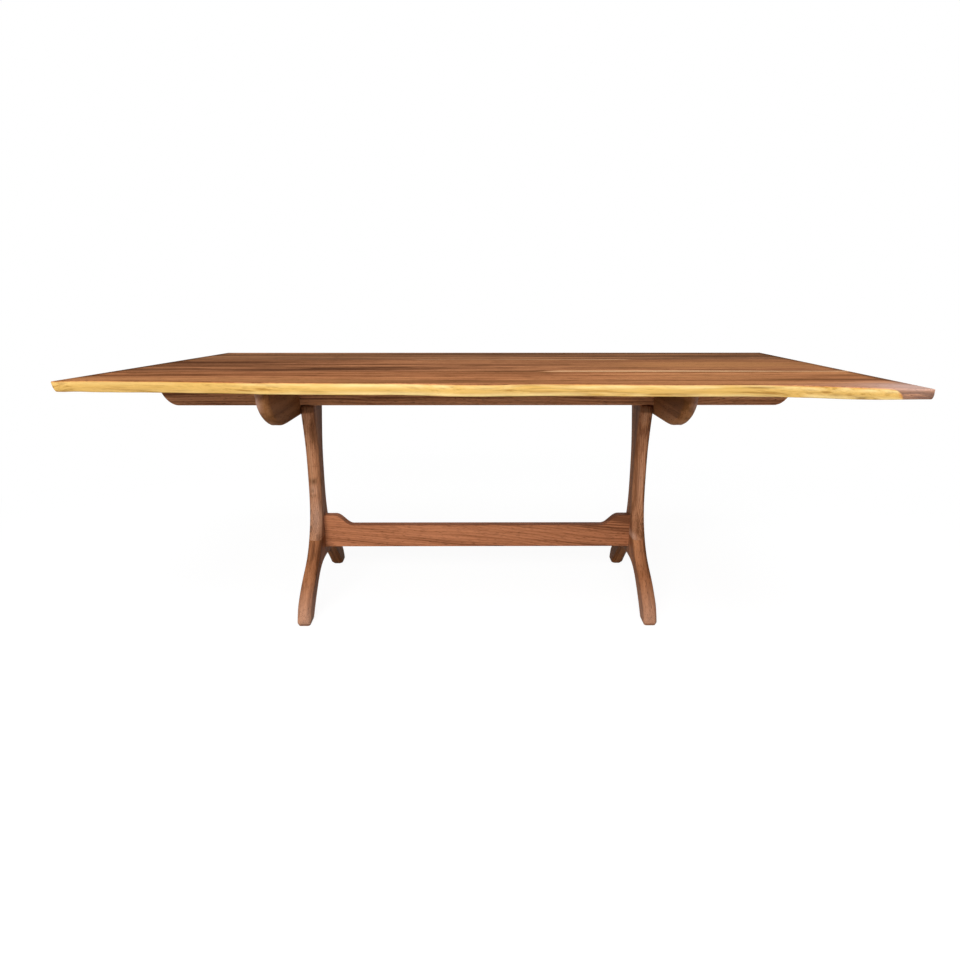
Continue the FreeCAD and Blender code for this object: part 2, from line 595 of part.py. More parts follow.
def make_column(side, sign, insert_bores):
    name = f"column_{side}"
    body = put(new_body(name + "_body"), x=f"{sign}trestle_span / 2")
    sketch = new_sketch(body, name + "_side", "YZ_Plane")
    rise = "(rail_bottom - joint_height)"
    edge = [("shoulder_depth / 2", "rail_bottom")]
    for shares, wide in ((COLUMN_UPPER_SHARES, "shoulder_depth"), (COLUMN_LOWER_SHARES, "joint_depth")):
        edge += [(f"(waist_depth + ({wide} - waist_depth) * {out}) / 2", f"joint_height + {rise} * {up}")
                 for out, up in shares]
    edge += [("joint_depth / 2", "joint_height")]
    neck = [("0", "underside"), ("neck_depth / 2", "underside"), ("neck_depth / 2", "rail_bottom")]
    draw_outline(sketch, [[("0", "joint_height"), neck[0]], neck[:2], neck[1:], [neck[2], edge[0]], edge,
                          [edge[-1], ("0", "joint_height")]])
    whole = mirror(body, pad_both_ways(body, sketch, "column_thickness"), "XZ_Plane")
    ease(body, whole, "arris_chamfer", is_long_arris)
    room = ["2 * tenon_length", "tenon_thickness", "tenon_height"]
    mortise = block(name + "_mortise", [f"{length} + 2 * glue_clearance" for length in room],
                    f"{sign}column_inner", "0", "tenon_level - tenon_height / 2 - glue_clearance")
    bolt = stretcher_bolts[side]
    joints = [mortise, bolt["bore"], bolt["recess"]] + insert_bores + loose_slots[side]
    return piece(name, cut(name, body, joints))


inserts = []
for side, sign in SIDES:
    side_inserts, insert_bores = make_inserts(side, sign)
    inserts += side_inserts
    make_column(side, sign, insert_bores)


# Legs
def make_leg(side, sign, end):
    """A splayed leg, drawn to the rear and turned about for the front."""
    name = f"leg_{side}_{end}"
    body = put(new_body(name + "_body"), x=f"{sign}trestle_span / 2")
    body.setExpression("Placement.Rotation.Angle", HALF_TURN[end])
    sketch = new_sketch(body, name + "_side", "YZ_Plane")
    out = "(foot_reach - joint_depth / 2)"
    heel = "(foot_reach - foot_depth)"
    front = [("joint_depth / 2", "joint_height")]
    front += [(f"joint_depth / 2 + {out} * {run}", f"joint_height * {rise}")
              for run, rise in LEG_FRONT_SHARES]
    front += [("foot_reach", "0")]
    arch = [(heel, "0")]
    arch += [(f"{heel} * (1 - {run})", f"crotch_height * {rise}") for run, rise in LEG_ARCH_SHARES]
    arch += [("0", "crotch_height")]
    draw_outline(sketch, [[("0", "joint_height"), front[0]], front, [front[-1], arch[0]], arch,
                          [arch[-1], ("0", "joint_height")]])
    ease(body, pad_both_ways(body, sketch, "column_thickness"), "arris_chamfer", is_long_arris)
    return piece(name, cut(name, body, loose_slots[side]))


for side, sign in SIDES:
    for end, end_sign in ENDS:
        make_leg(side, sign, end)


# Stretcher, with a lift and a stub tenon at each end
def make_barrel_nut(side, sign):
    """A cross nut let in from the stretcher's rear face, and the bore that it sits in."""
    x = f"{sign}(column_inner - barrel_nut_inset)"
    nut = rod(f"barrel_nut_{side}", "barrel_nut_diameter", "barrel_nut_length", "+Y", x,
              "-barrel_nut_length / 2", "tenon_level")
    bore = rod(f"barrel_nut_{side}_bore", "barrel_nut_diameter + 2 * glue_clearance",
               "(barrel_nut_length + stretcher_thickness) / 2 + overrun", "+Y", x, "-barrel_nut_length / 2",
               "tenon_level")
    return cut(f"barrel_nut_{side}_drilled", nut, [stretcher_bolts[side]["bore"]]), bore


barrel_nuts = [make_barrel_nut(side, sign) for side, sign in SIDES]


def is_stretcher_arris(edge):
    """An edge that runs along the stretcher, in its front or rear face."""
    box = edge.BoundBox
    return box.XLength > box.YLength + box.ZLength or isinstance(edge.Curve, Part.BSplineCurve)


def make_stretcher():
    name = "stretcher"
    body = put(new_body(name + "_body"))
    sketch = new_sketch(body, name + "_side", "XZ_Plane")
    low = "(stretcher_bottom + stretcher_height)"
    start = "(column_inner - lift_flat - lift_run)"
    lift = [(start, low)]
    lift += [(f"{start} + lift_run * {run}", f"{low} + lift_rise * {rise}")
             for run, rise in LIFT_SWEEP_SHARES]
    lift += [("column_inner - lift_flat", f"{low} + lift_rise")]
    corners = [("column_inner", f"{low} + lift_rise"), ("column_inner", "stretcher_bottom"),
               ("0", "stretcher_bottom")]
    draw_outline(sketch, [[("0", low), lift[0]], lift, [lift[-1], corners[0]], corners[:2], corners[1:],
                          [corners[2], ("0", low)]])
    whole = mirror(body, pad_both_ways(body, sketch, "stretcher_thickness"), "YZ_Plane")
    ease(body, whole, "stretcher_chamfer", is_stretcher_arris)
    tenons = [block(f"{name}_{side}_tenon", ("2 * tenon_length", "tenon_thickness", "tenon_height"),
                    f"{sign}column_inner", "0", "tenon_level - tenon_height / 2") for side, sign in SIDES]
    holes = [stretcher_bolts[side]["bore"] for side, sign in SIDES] + [bore for nut, bore in barrel_nuts]
    return piece(name, cut(name, fuse(name + "_solid", [body] + tenons), holes))


make_stretcher()

# Metal fittings and plugs, like ones together
all_bearer_bolts = bearer_bolts["left"] + bearer_bolts["right"]
group("stretcher_bolts", [bolt["bolt"] for bolt in stretcher_bolts.values()])
group("stretcher_bolt_washers", [bolt["washer"] for bolt in stretcher_bolts.values()])
group("stretcher_bolt_plugs", [bolt["plug"] for bolt in stretcher_bolts.values()])
group("stretcher_barrel_nuts", [nut for nut, bore in barrel_nuts])
group("bearer_bolts", [bolt["bolt"] for bolt in all_bearer_bolts])
group("bearer_bolt_washers", [bolt["washer"] for bolt in all_bearer_bolts])
group("bearer_bolt_plugs", [bolt["plug"] for bolt in all_bearer_bolts])
group("bearer_inserts", inserts)
group("lap_screws", [screw["screw"] for screw in lap_screws.values()])
top_screws = list(bearer_screws.values()) + rail_screws["front"] + rail_screws["rear"]
group("top_screws", [screw["screw"] for screw in top_screws])
group("top_washers", [screw["washer"] for screw in top_screws])

# Test every object, then write each piece
doc.recompute()
for thing in doc.Objects:
    if any(word in thing.State for word in ("Invalid", "Error")):
        raise SystemExit(f"{thing.Name} failed: {thing.State}")
for thing in pieces:
    if thing.Shape.isNull() or not thing.Shape.isValid() or not thing.Shape.Solids:
        raise SystemExit(f"{thing.Label} has no sound solid")
os.makedirs("parts", exist_ok=True)
for thing in pieces:
    thing.Shape.exportStep(f"parts/{thing.Label}.step")
    box = thing.Shape.BoundBox
    print(f"{thing.Label}: {len(thing.Shape.Solids)} solids, {box.XLength:.0f} x {box.YLength:.0f} x "
          f"{box.ZLength:.0f} mm")
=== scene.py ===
# %% [markdown]
# A trestle dining table. The real one is a top of three long boards, the front one with the tree's own
# edge left on it, on two waisted trestles that a low stretcher ties together.
# The solids come first: they are loaded as a fixed frame, and every piece made below stands where its
# solid stands. Lengths are metres, +X runs along the table, +Y to the rear and +Z up.

# %% Load the frame
import json
import math
import bpy
import numpy as np
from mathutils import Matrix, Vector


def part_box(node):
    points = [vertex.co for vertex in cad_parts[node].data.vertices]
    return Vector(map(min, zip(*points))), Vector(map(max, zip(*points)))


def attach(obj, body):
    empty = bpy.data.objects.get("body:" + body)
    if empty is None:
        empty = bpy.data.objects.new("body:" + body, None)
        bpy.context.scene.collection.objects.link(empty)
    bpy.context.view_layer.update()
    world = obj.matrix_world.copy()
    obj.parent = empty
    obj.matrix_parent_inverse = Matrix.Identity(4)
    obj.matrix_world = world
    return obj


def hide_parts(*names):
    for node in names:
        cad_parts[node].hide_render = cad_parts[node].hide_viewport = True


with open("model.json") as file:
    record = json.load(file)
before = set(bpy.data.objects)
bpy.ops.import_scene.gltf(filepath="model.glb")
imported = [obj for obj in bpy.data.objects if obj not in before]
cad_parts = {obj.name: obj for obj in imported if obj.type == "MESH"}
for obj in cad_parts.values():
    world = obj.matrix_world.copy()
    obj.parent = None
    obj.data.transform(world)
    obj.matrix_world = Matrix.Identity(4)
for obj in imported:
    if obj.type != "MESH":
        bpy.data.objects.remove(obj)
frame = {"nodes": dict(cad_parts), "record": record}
scene = bpy.context.scene
join = np.concatenate
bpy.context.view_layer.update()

# %% [markdown]
# The table is worked out about the trestles' middle and then moved to the frame. Main measures are read
# from the solids' boxes; the others are typed, in metres, where they are needed.

# %% Measures from the solids


def corners_of(node):
    """The lowest and highest corner of a solid as arrays."""
    low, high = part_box(node)
    return np.array(low), np.array(high)


left_low, left_high = corners_of("column_left")
right_low, right_high = corners_of("column_right")
MIDDLE = np.array([(left_low[0] + right_high[0]) / 2, (left_low[1] + left_high[1]) / 2, 0])
UNDERSIDE, TOP = [corner[2] for corner in corners_of("top_board_middle")]
TRESTLE = (right_low[0] + right_high[0]) / 2 - MIDDLE[0]
HALF_THICK = (right_high[0] - right_low[0]) / 2
COLUMN_FACE = TRESTLE + HALF_THICK
JOINT = left_low[2]
SHOULDER = corners_of("rail_front")[0][2]
SIDES = (("left", -1), ("right", 1))
ENDS = (("front", -1), ("rear", 1))
print("trestles' middle", MIDDLE, "joint of column and legs", JOINT, "shoulder", SHOULDER)

# %% [markdown]
# Every shape here is a grid of points. A smooth line is drawn from a few poles; a section is a polygon
# with rounded corners; a bar is a section carried along a line, or an outline given a thickness. Curve
# objects and bevels could do this too, but arrays let a chamfer grow and shrink along a piece.

# %% Lines


def rows(*columns):
    """Arrays side by side along a new last axis. One number can serve for a whole column."""
    return np.stack(np.broadcast_arrays(*columns), axis=-1)


def pole_curve(poles, steps):
    """Points of a smooth line: means of the poles with cubic B-spline weights, on even knots held at both
    ends. Weights of degree d blend two neighbours of degree d - 1."""
    degree = 3
    spans = len(poles) - degree
    knots_and_shade = join([np.zeros(degree), np.linspace(0, 1, spans + 1), np.ones(degree)])
    at = np.minimum(np.linspace(0, 1, steps), 1 - 1e-9)[:, None]
    weights = ((at >= knots_and_shade[:-1]) & (at < knots_and_shade[1:])).astype(float)
    for d in range(1, degree + 1):
        rise = np.maximum(knots_and_shade[d:-1] - knots_and_shade[:-d - 1], 1e-12)
        fall = np.maximum(knots_and_shade[d + 1:] - knots_and_shade[1:-d], 1e-12)
        weights = ((at - knots_and_shade[:-d - 1]) / rise * weights[:, :-1]
                   + (knots_and_shade[d + 1:] - at) / fall * weights[:, 1:])
    return weights @ poles


def even(points, steps):
    """The same line with evenly spaced points."""
    run = join([[0], np.cumsum(np.linalg.norm(np.diff(points, axis=0), axis=1))])
    at = np.linspace(0, run[-1], steps)
    return rows(*[np.interp(at, run, axis) for axis in points.T])


def ramp(low, high, value):
    """0 below low, 1 above high, and 3t^2 - 2t^3 between them."""
    t = np.clip((value - low) / (high - low), 0, 1)
    return t * t * (3 - 2 * t)


print("halfway along a line with four poles:", even(pole_curve([(0, 0), (0, 1), (1, 1), (1, 0)], 99), 3)[1])

# %% Sections


def corner_rows(*pairs):
    """Corners for section(), from pairs of values at the stations. One value can serve them all."""
    return np.stack([rows(*pair) for pair in pairs], axis=1)


def section(corners, radii, arc_steps, flat_steps):
    """Rounded polygons from (stations, corners, 2). A corner becomes a quadratic arc between points that
    lie a radius away along its sides, at most 0.45 of a side; a side gets flat_steps parts."""
    before = np.roll(corners, 1, axis=1) - corners
    after = np.roll(corners, -1, axis=1) - corners
    far_before = np.linalg.norm(before, axis=-1, keepdims=True)
    far_after = np.linalg.norm(after, axis=-1, keepdims=True)
    radii = np.broadcast_to(radii, corners.shape[:2])[..., None]
    reach = np.minimum(radii, 0.45 * np.minimum(far_before, far_after))
    start = corners + before / np.maximum(far_before, 1e-9) * reach
    stop = corners + after / np.maximum(far_after, 1e-9) * reach
    t = np.linspace(0, 1, arc_steps)[None, None, :, None]
    arcs = ((1 - t) ** 2 * start[:, :, None] + 2 * t * (1 - t) * corners[:, :, None]
            + t ** 2 * stop[:, :, None])
    following = np.roll(start, -1, axis=1)
    parts = []
    for corner, steps in enumerate(flat_steps):
        s = np.linspace(0, 1, steps + 1)[1:-1][None, :, None]
        flat = stop[:, corner, None] * (1 - s) + following[:, corner, None] * s
        parts += [arcs[:, corner], flat]
    return join(parts, axis=1)


def tube_faces(stations, around):
    """Quads between neighbouring rings, and one flat face over each end ring."""
    ring = np.arange(stations * around).reshape(stations, around)
    turn = np.roll(ring, -1, axis=1)
    quads = rows(ring[:-1], turn[:-1], turn[1:], ring[1:]).reshape(-1, 4)
    return quads.tolist() + [ring[0, ::-1].tolist(), ring[-1].tolist()]


print("faces of a tube of 3 rings of 4 points:", len(tube_faces(3, 4)))

# %% Bars
ARRIS_STEPS = 6


def slab(lower, upper, half, ease):
    """A bar sawn to an outline and eased all round. Lower and upper are its long edges, arrays of run and
    height. Rings of the outline step over each arris on a quarter circle: inset ease * (1 - sin a),
    sideways half - ease * (1 - cos a). Returns points as (run, side, height), and faces."""
    loop = join([lower, upper[::-1]])
    count = len(loop)
    step = np.roll(loop, -1, axis=0) - loop
    normal = rows(-step[:, 1], step[:, 0])
    normal /= np.maximum(np.linalg.norm(normal, axis=1, keepdims=True), 1e-12)
    last = np.roll(normal, 1, axis=0)
    inward = (normal + last) / (1 + (normal * last).sum(axis=1, keepdims=True))
    angle = np.linspace(0, math.pi / 2, ARRIS_STEPS)[:, None]
    inset = ease * (1 - np.sin(angle))
    side = half - ease * (1 - np.cos(angle))
    ring = loop[None] + inset[..., None] * inward[None]
    near = rows(ring[..., 0], -side, ring[..., 1])
    points = join([near, near[::-1] * (1, -1, 1)])
    faces = tube_faces(len(points), count)[:-2]
    first = np.arange(count)
    for face, flip in ((first, True), (first + (len(points) - 1) * count, False)):
        low, high = face[:count // 2], face[count // 2:][::-1]
        strip = rows(low[:-1], low[1:], high[1:], high[:-1])
        faces += (strip[:, ::-1] if flip else strip).tolist()
    return points.reshape(-1, 3), faces


print("an arris is rounded in", ARRIS_STEPS - 1, "steps")

# %% [markdown]
# Wood. Walnut shows four things at once: growth rings, shells about the tree's middle; long streaks of
# darker heartwood; fibres; and pores, short dark dashes along the grain. A picture of wood could be laid
# on each face; here the tree's middle is a line beside each piece, so one solid texture gives arches on
# the faces and arcs on the ends. A small class lets node maths be written as plain expressions.

# %% Node maths


class Field:
    """An output of a node tree. Arithmetic on fields adds Math nodes."""

    def __init__(self, tree, socket=None):
        self.tree = tree
        self.socket = socket

    def node(self, kind, inputs=None, settings=None, output=0):
        """Add a node, apply its settings, set or link its inputs, and give back one output."""
        added = self.tree.nodes.new(kind)
        for key, value in (settings or {}).items():
            setattr(added, key, value)
        for key, value in (inputs or {}).items():
            if isinstance(value, Field):
                self.tree.links.new(value.socket, added.inputs[key])
            else:
                added.inputs[key].default_value = value
        return Field(self.tree, added.outputs[output]) if added.outputs else None

    def math(self, operation, first, second=0):
        """A Math node on one or two values, each a field or a plain number."""
        return self.node("ShaderNodeMath", {0: first, 1: second}, {"operation": operation})

    def __add__(self, other):
        return self.math("ADD", self, other)

    def __sub__(self, other):
        return self.math("SUBTRACT", self, other)

    def __rsub__(self, other):
        return self.math("SUBTRACT", other, self)

    def __mul__(self, other):
        return self.math("MULTIPLY", self, other)

    def __truediv__(self, other):
        return self.math("DIVIDE", self, other)

    def __pow__(self, other):
        return self.math("POWER", self, other)

    __radd__ = __add__
    __rmul__ = __mul__

    def between(self, low, high):
        """0 where the field is at low, 1 where it is at high, and smooth between them."""
        return self.node("ShaderNodeMapRange", {"Value": self, "From Min": low, "From Max": high},
                         {"interpolation_type": "SMOOTHSTEP"})

    def mix(self, first, second):
        """Colours: the first where the field is 0, the second where it is 1."""
        return self.node("ShaderNodeMix", {0: self, 6: first, 7: second}, {"data_type": "RGBA"}, 2)

    def shaded(self, share, shade):
        """The field's colour multiplied by a shade, as far as the share says."""
        return self.node("ShaderNodeMix", {0: share, 6: self, 7: shade},
                         {"data_type": "RGBA", "blend_type": "MULTIPLY"}, 2)

    def also(self, output):
        """Another output of the same node."""
        return Field(self.tree, self.socket.node.outputs[output])

    def feed(self, socket):
        """Link the field to an input of a shader."""
        self.tree.links.new(self.socket, socket)

    def noise(self, scale, detail=2, rough=0.5):
        """Smooth random values about 0.5. The scale is for X, Y and Z; Z is as Y if it is left out."""
        scale = (*scale, scale[1])[:3]
        place = self.node("ShaderNodeMapping", {"Vector": self, "Scale": scale})
        return self.node("ShaderNodeTexNoise",
                         {"Vector": place, "Scale": 1, "Detail": detail, "Roughness": rough})


print("a field has", [name for name in vars(Field) if name[0] != "_"])

# %% Colours


def srgb(red, green, blue):
    """A colour as a picture states it, 0 to 255, turned into the linear one that shading needs."""
    share = np.array([red, green, blue]) / 255
    linear = np.where(share <= 0.04045, share / 12.92, ((share + 0.055) / 1.055) ** 2.4)
    return (*linear.tolist(), 1)


print("grey 128 in linear light:", round(srgb(128, 128, 128)[0], 3))

# %% Walnut: tones and marks
DARK = srgb(73, 44, 23)
PORE = srgb(52, 31, 16)
# The pale colour serves pale patches on the columns and painted light on the front feet; the grey one is a
# painted sheen.
PALE_PATCH = srgb(194, 153, 130)
PAINTED_SHEEN = srgb(218, 182, 170)
FRAME_TONES = (srgb(92, 57, 36), srgb(150, 95, 62), srgb(186, 124, 84))


def stored(grain, name):
    """A value that was stored at the points of the mesh."""
    return grain.node("ShaderNodeAttribute", None, {"attribute_name": name}, "Fac")


def drawn_marks(grain, colour, marks, pale_tone):
    """The colour with the listed marks: ragged dark streaks, which are painted shade in places; pale patches,
    which are painted light on the front feet; and grey patches, which are painted sheen.
    """
    # Stored streaks are dark wood, and on columns, legs and board ends also painted shade.
    if "streak" in marks:
        ragged = grain.noise((5, 130), 3)
        drawn = stored(grain, "streak") * (0.35 + ragged.between(0.25, 0.6) * 0.65)
        colour = (drawn * 0.85).mix(colour, DARK)
    if "pale" in marks:
        colour = (stored(grain, "pale") * 0.8).mix(colour, pale_tone)
    # Painted sheen: the grey patches.
    if "grey" in marks:
        colour = (stored(grain, "grey") * 0.9).mix(colour, PAINTED_SHEEN)
    return colour


def sapwood(grain, sap, marks):
    """How far each point is sapwood, 0 to 1, and the sapwood's colour. The stored depth under the bark is
    made ragged by noise, and sapwood turns into heartwood between two depths."""
    depth = stored(grain, "sap") + (grain.noise((3, 60), 3) - 0.5) * sap["ragged"]
    pale = 1 - depth.between(sap["from"], sap["to"])
    vein = grain.noise((3.5, 130), 4, 0.65)
    young = vein.between(0.47, 0.68).mix(sap["light"], sap["vein"])
    young = depth.between(0.2 * sap["from"], 0.7 * sap["to"]).mix(young, sap["border"])
    if "cream" in marks:
        creamy = grain.noise((4, 40), 3, 0.6).between(0.34, 0.58)
        young = (stored(grain, "cream") * creamy).mix(young, sap["cream"])
    if "scar" in marks:
        young = (stored(grain, "scar") * 0.85).mix(young, sap["scar"])
    return pale, young


print("walnut tones, linear", np.round(FRAME_TONES, 3).tolist())

# %% Walnut: the whole finish
ALONG_X = ((0, 0, 0), (1, 0, 0))
ALONG_Y = ((0, 0, -math.pi / 2), (0, 1, 0))
ALONG_Z = ((0, math.pi / 2, 0), (0, 0, 1))
SWAY = 0.05
WOBBLE = 0.004
TONE_SHIFT = 0.035
WORN_SHADE = (0.6, 0.56, 0.52, 1)
SAWN_SHADE = (0.5, 0.46, 0.42, 1)
NO_SHADE = (1, 1, 1, 1)
BUMP = {"Strength": 0.3, "Distance": 0.0006}


def new_finish(name):
    """A material, the inputs of its shader, and a field to start from."""
    material = bpy.data.materials.new(name)
    material.use_nodes = True
    tree = material.node_tree
    return material, tree.nodes["Principled BSDF"].inputs, Field(tree)


def walnut(name, grain_way, offset, pith, ring, tones=FRAME_TONES, lift=0, streaks=0.5, flecks=0.3,
           sap=None, marks=(), gloss=0.02, fade=0, figure=0.07, end_dark=0.6, pale_tone=PALE_PATCH,
           blotch=0):
    """Grain way is the turn that brings the grain onto local X, and its direction. Offset picks another
    stretch of tree, pith is the tree's middle across the grain, and ring a ring's width. Tones are dark,
    middle and light; lift moves the piece towards the light one, and fade does so along X. Figure is
    how strongly the rings show, end_dark how dark sawn ends are, and blotch how dark short patches are."""
    material, inputs, start = new_finish(name)
    place = start.node("ShaderNodeTexCoord", output="Object")
    turn, axis = grain_way
    grain = start.node("ShaderNodeMapping", {"Vector": place, "Rotation": turn, "Location": offset})
    axes = start.node("ShaderNodeSeparateXYZ", {"Vector": grain})
    across = axes.also("Y") - pith[0]
    deep = axes.also("Z") - pith[1]

    # Rings about the pith, swayed by slow noise
    sway = grain.noise((1.3, 6), 2) - 0.5
    wobble = grain.noise((7, 45), 2) - 0.5
    radius = (across ** 2 + deep ** 2) ** 0.5 + sway * SWAY + wobble * WOBBLE
    rings = start.math("FRACT", radius / ring)
    late = rings.between(0.25, 0.92) * (1 - rings.between(0.93, 1))

    # Broad bands of tone, long streaks, fibres and pores
    broad = grain.noise((0.9, 15), 3, 0.55)
    streak = grain.noise((1.7, 60), 4, 0.62)
    fibre = grain.noise((16, 520), 3, 0.6)
    fleck = grain.noise((24, 210), 2, 0.55)
    pores = grain.noise((55, 560), 1).between(0.6, 0.7)
    tone = broad * 0.55 + streak * 0.45 - late * figure + (lift + TONE_SHIFT)
    if fade:
        run = start.node("ShaderNodeSeparateXYZ", {"Vector": place})
        tone = tone + run * fade
    colour = tone.between(0.4, 0.52).mix(tones[0], tones[1])
    colour = tone.between(0.49, 0.64).mix(colour, tones[2])
    colour = (streak.between(0.55, 0.72) * streaks).mix(colour, DARK)
    colour = (fleck.between(0.55, 0.68) * flecks).mix(colour, DARK)
    if blotch:
        patch = grain.noise((11, 48), 3, 0.6)
        colour = (patch.between(0.52, 0.68) * blotch).mix(colour, DARK)
    colour = drawn_marks(grain, colour, marks, pale_tone)
    if sap:
        pale, young = sapwood(grain, sap, marks)
        colour = pale.mix(colour, young)
        pores = pores * (1 - pale * 0.8)
    colour = (pores * 0.5).mix(colour, PORE)

    # Fibres shade the timber a little, and it is darker where it was sawn across the grain
    facing = start.node("ShaderNodeNewGeometry", output="Normal")
    ends = start.node("ShaderNodeVectorMath", {0: facing, 1: axis}, {"operation": "DOT_PRODUCT"}, "Value")
    end_grain = start.math("ABSOLUTE", ends).between(0.7, 0.95)
    colour = colour.shaded(0.25, fibre.between(0.3, 0.75).mix(WORN_SHADE, NO_SHADE))
    colour = colour.shaded(end_grain * end_dark, SAWN_SHADE)
    height = fibre * 0.35 - pores * 0.8 - late * 0.12
    colour.feed(inputs["Base Color"])
    (0.46 + fibre * 0.14 + pores * 0.15).feed(inputs["Roughness"])
    start.node("ShaderNodeBump", {"Height": height, **BUMP}).feed(inputs["Normal"])
    inputs["Specular IOR Level"].default_value = gloss
    return material


print("rings sway by up to", SWAY / 2, "m")

# %% [markdown]
# One function puts each grid into Blender. It turns the faces outwards if the grid came out the other
# way, shades it smooth except over real arrises, and hides the solids that the piece stands for.

# %% Putting a piece in its place
SHARP = math.radians(38)


def finish_surface(mesh):
    """Shade smoothly, except over arrises that turn by more than the sharp angle."""
    mesh.shade_smooth()
    mesh.set_sharp_from_angle(angle=SHARP)


def placed(name, data):
    """A new object with a mesh, lamp or camera, linked to the scene."""
    thing = bpy.data.objects.new(name, data)
    scene.collection.objects.link(thing)
    return thing


def volume_of(mesh):
    """A sixth of the sum of the triangles' triple products. Its sign tells which way the faces look."""
    corners = np.empty(len(mesh.vertices) * 3)
    mesh.vertices.foreach_get("co", corners)
    mesh.calc_loop_triangles()
    triangles = np.empty(len(mesh.loop_triangles) * 3, dtype=np.int32)
    mesh.loop_triangles.foreach_get("vertices", triangles)
    a, b, c = corners.reshape(-1, 3)[triangles.reshape(-1, 3)].transpose(1, 0, 2)
    return (a * np.cross(b, c)).sum() / 6


def add_piece(name, points, faces, nodes, material, attributes=None):
    """Make the mesh, face it outwards, store values at its points, and hide the solids it stands for."""
    mesh = bpy.data.meshes.new(name)
    mesh.from_pydata(points + MIDDLE, [], faces)
    mesh.update()
    volume = volume_of(mesh)
    if volume < 0:
        mesh.flip_normals()
    for key, values in (attributes or {}).items():
        layer = mesh.attributes.new(key, "FLOAT", "POINT")
        layer.data.foreach_set("value", np.ascontiguousarray(values, dtype=np.float32).ravel())
    mesh.materials.append(material)
    piece = placed(name, mesh)
    finish_surface(mesh)
    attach(piece, "root")
    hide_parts(*nodes)
    print(name, len(mesh.polygons), "faces,", round(abs(volume) * 1000, 2), "litres")
    return piece


def add_tube(name, rings, nodes, material, attributes=None):
    """A piece made of rings of points, one ring for each station."""
    faces = tube_faces(*rings.shape[:2])
    return add_piece(name, rings.reshape(-1, 3), faces, nodes, material, attributes)


print("arrises stay crisp from", round(math.degrees(SHARP)), "degrees on")

# %% [markdown]
# The top is three boards, glued edge to edge and cut off at a slant. Boxes would do for a plain top, but
# the front board's section changes along its edge, so each board is a section carried along X. Both ends
# lean the same way, the left one more, so a station's X shifts with Y.

# %% Stations along the top
SEAM_FRONT, SEAM_REAR = [corner[1] - MIDDLE[1] for corner in corners_of("top_board_middle")]
REAR_EDGE = corners_of("top_board_rear")[1][1] - MIDDLE[1]
LEFT_LEAN = 0.103
RIGHT_LEAN = 0.055
LENGTH = 2.086
LEFT_END = -1.015
TOP_EASE = 0.0022
BOARD_STATIONS = 220
END_STEPS = 5
# Painted shade at the board ends: its strength, and the distances over which it fades out.
END_SHADE = 0.95
END_SHADE_FROM = 0.012
END_SHADE_TO = 0.03

# A quarter circle at each end, and even steps between them
angle = np.linspace(0, math.pi / 2, END_STEPS)
start = TOP_EASE * (1 - np.cos(angle))
inset = TOP_EASE * (1 - np.sin(angle))
middle = np.linspace(TOP_EASE, LENGTH - TOP_EASE, BOARD_STATIONS)[1:-1]
along = join([start, middle, LENGTH - start[::-1]])
inset = join([inset, np.zeros(len(middle)), inset[::-1]])
share = along / LENGTH


def lay_board(yz):
    """Points of a board. X is the station plus Y times a lean, which changes evenly between the ends."""
    lean = LEFT_LEAN + (RIGHT_LEAN - LEFT_LEAN) * along[:, None] / LENGTH
    x = LEFT_END + along[:, None] + lean * yz[..., 0]
    return rows(x, yz[..., 0], yz[..., 1])


# Painted shade: a dark band near each end of every board, stored with the streaks.
to_end = np.minimum(along, LENGTH - along)
painted_end_shade = END_SHADE * (1 - ramp(END_SHADE_FROM, END_SHADE_TO, to_end))[:, None]
print("boards of", len(along), "stations, seams at", SEAM_FRONT, "and", SEAM_REAR)

# %% [markdown]
# The front board keeps the tree's own edge, with only the bark taken off. Its line wanders, it leans back
# a little below, and its lower arris lifts towards both corners. Sculpting could make such an edge; a
# line drawn from a few poles is chosen because the solid's edge is drawn that way too.

# %% Front board: shape
FRONT_LEFT = -0.435
FRONT_RIGHT = -0.592
HOLLOW = 0.062
LIVE_EDGE = [(0, 0), (0.02, 0.37), (0.07, 0.31), (0.16, 0.44), (0.26, 0.13), (0.36, 0.25), (0.43, 0.45),
             (0.5, -0.07), (0.56, 0.52), (0.64, 0.61), (0.73, 0.61), (0.82, 0.97), (0.9, 0.76),
             (0.96, -0.04), (1, 0)]
EDGE_STEPS = 2000
UNDERCUT = 0.014
LOW_FLAT = 0.0015
LOW_BEVEL = 0.01
BEVEL_SPREAD = 7
BELLY = 0.002
BELLY_LEVEL = UNDERSIDE + 0.016
EDGE_GAP = 0.0002
TINY = 0.0001
FRONT_RADII = [TINY, 0.004, 0.003, 0.01, 0.002, TINY]

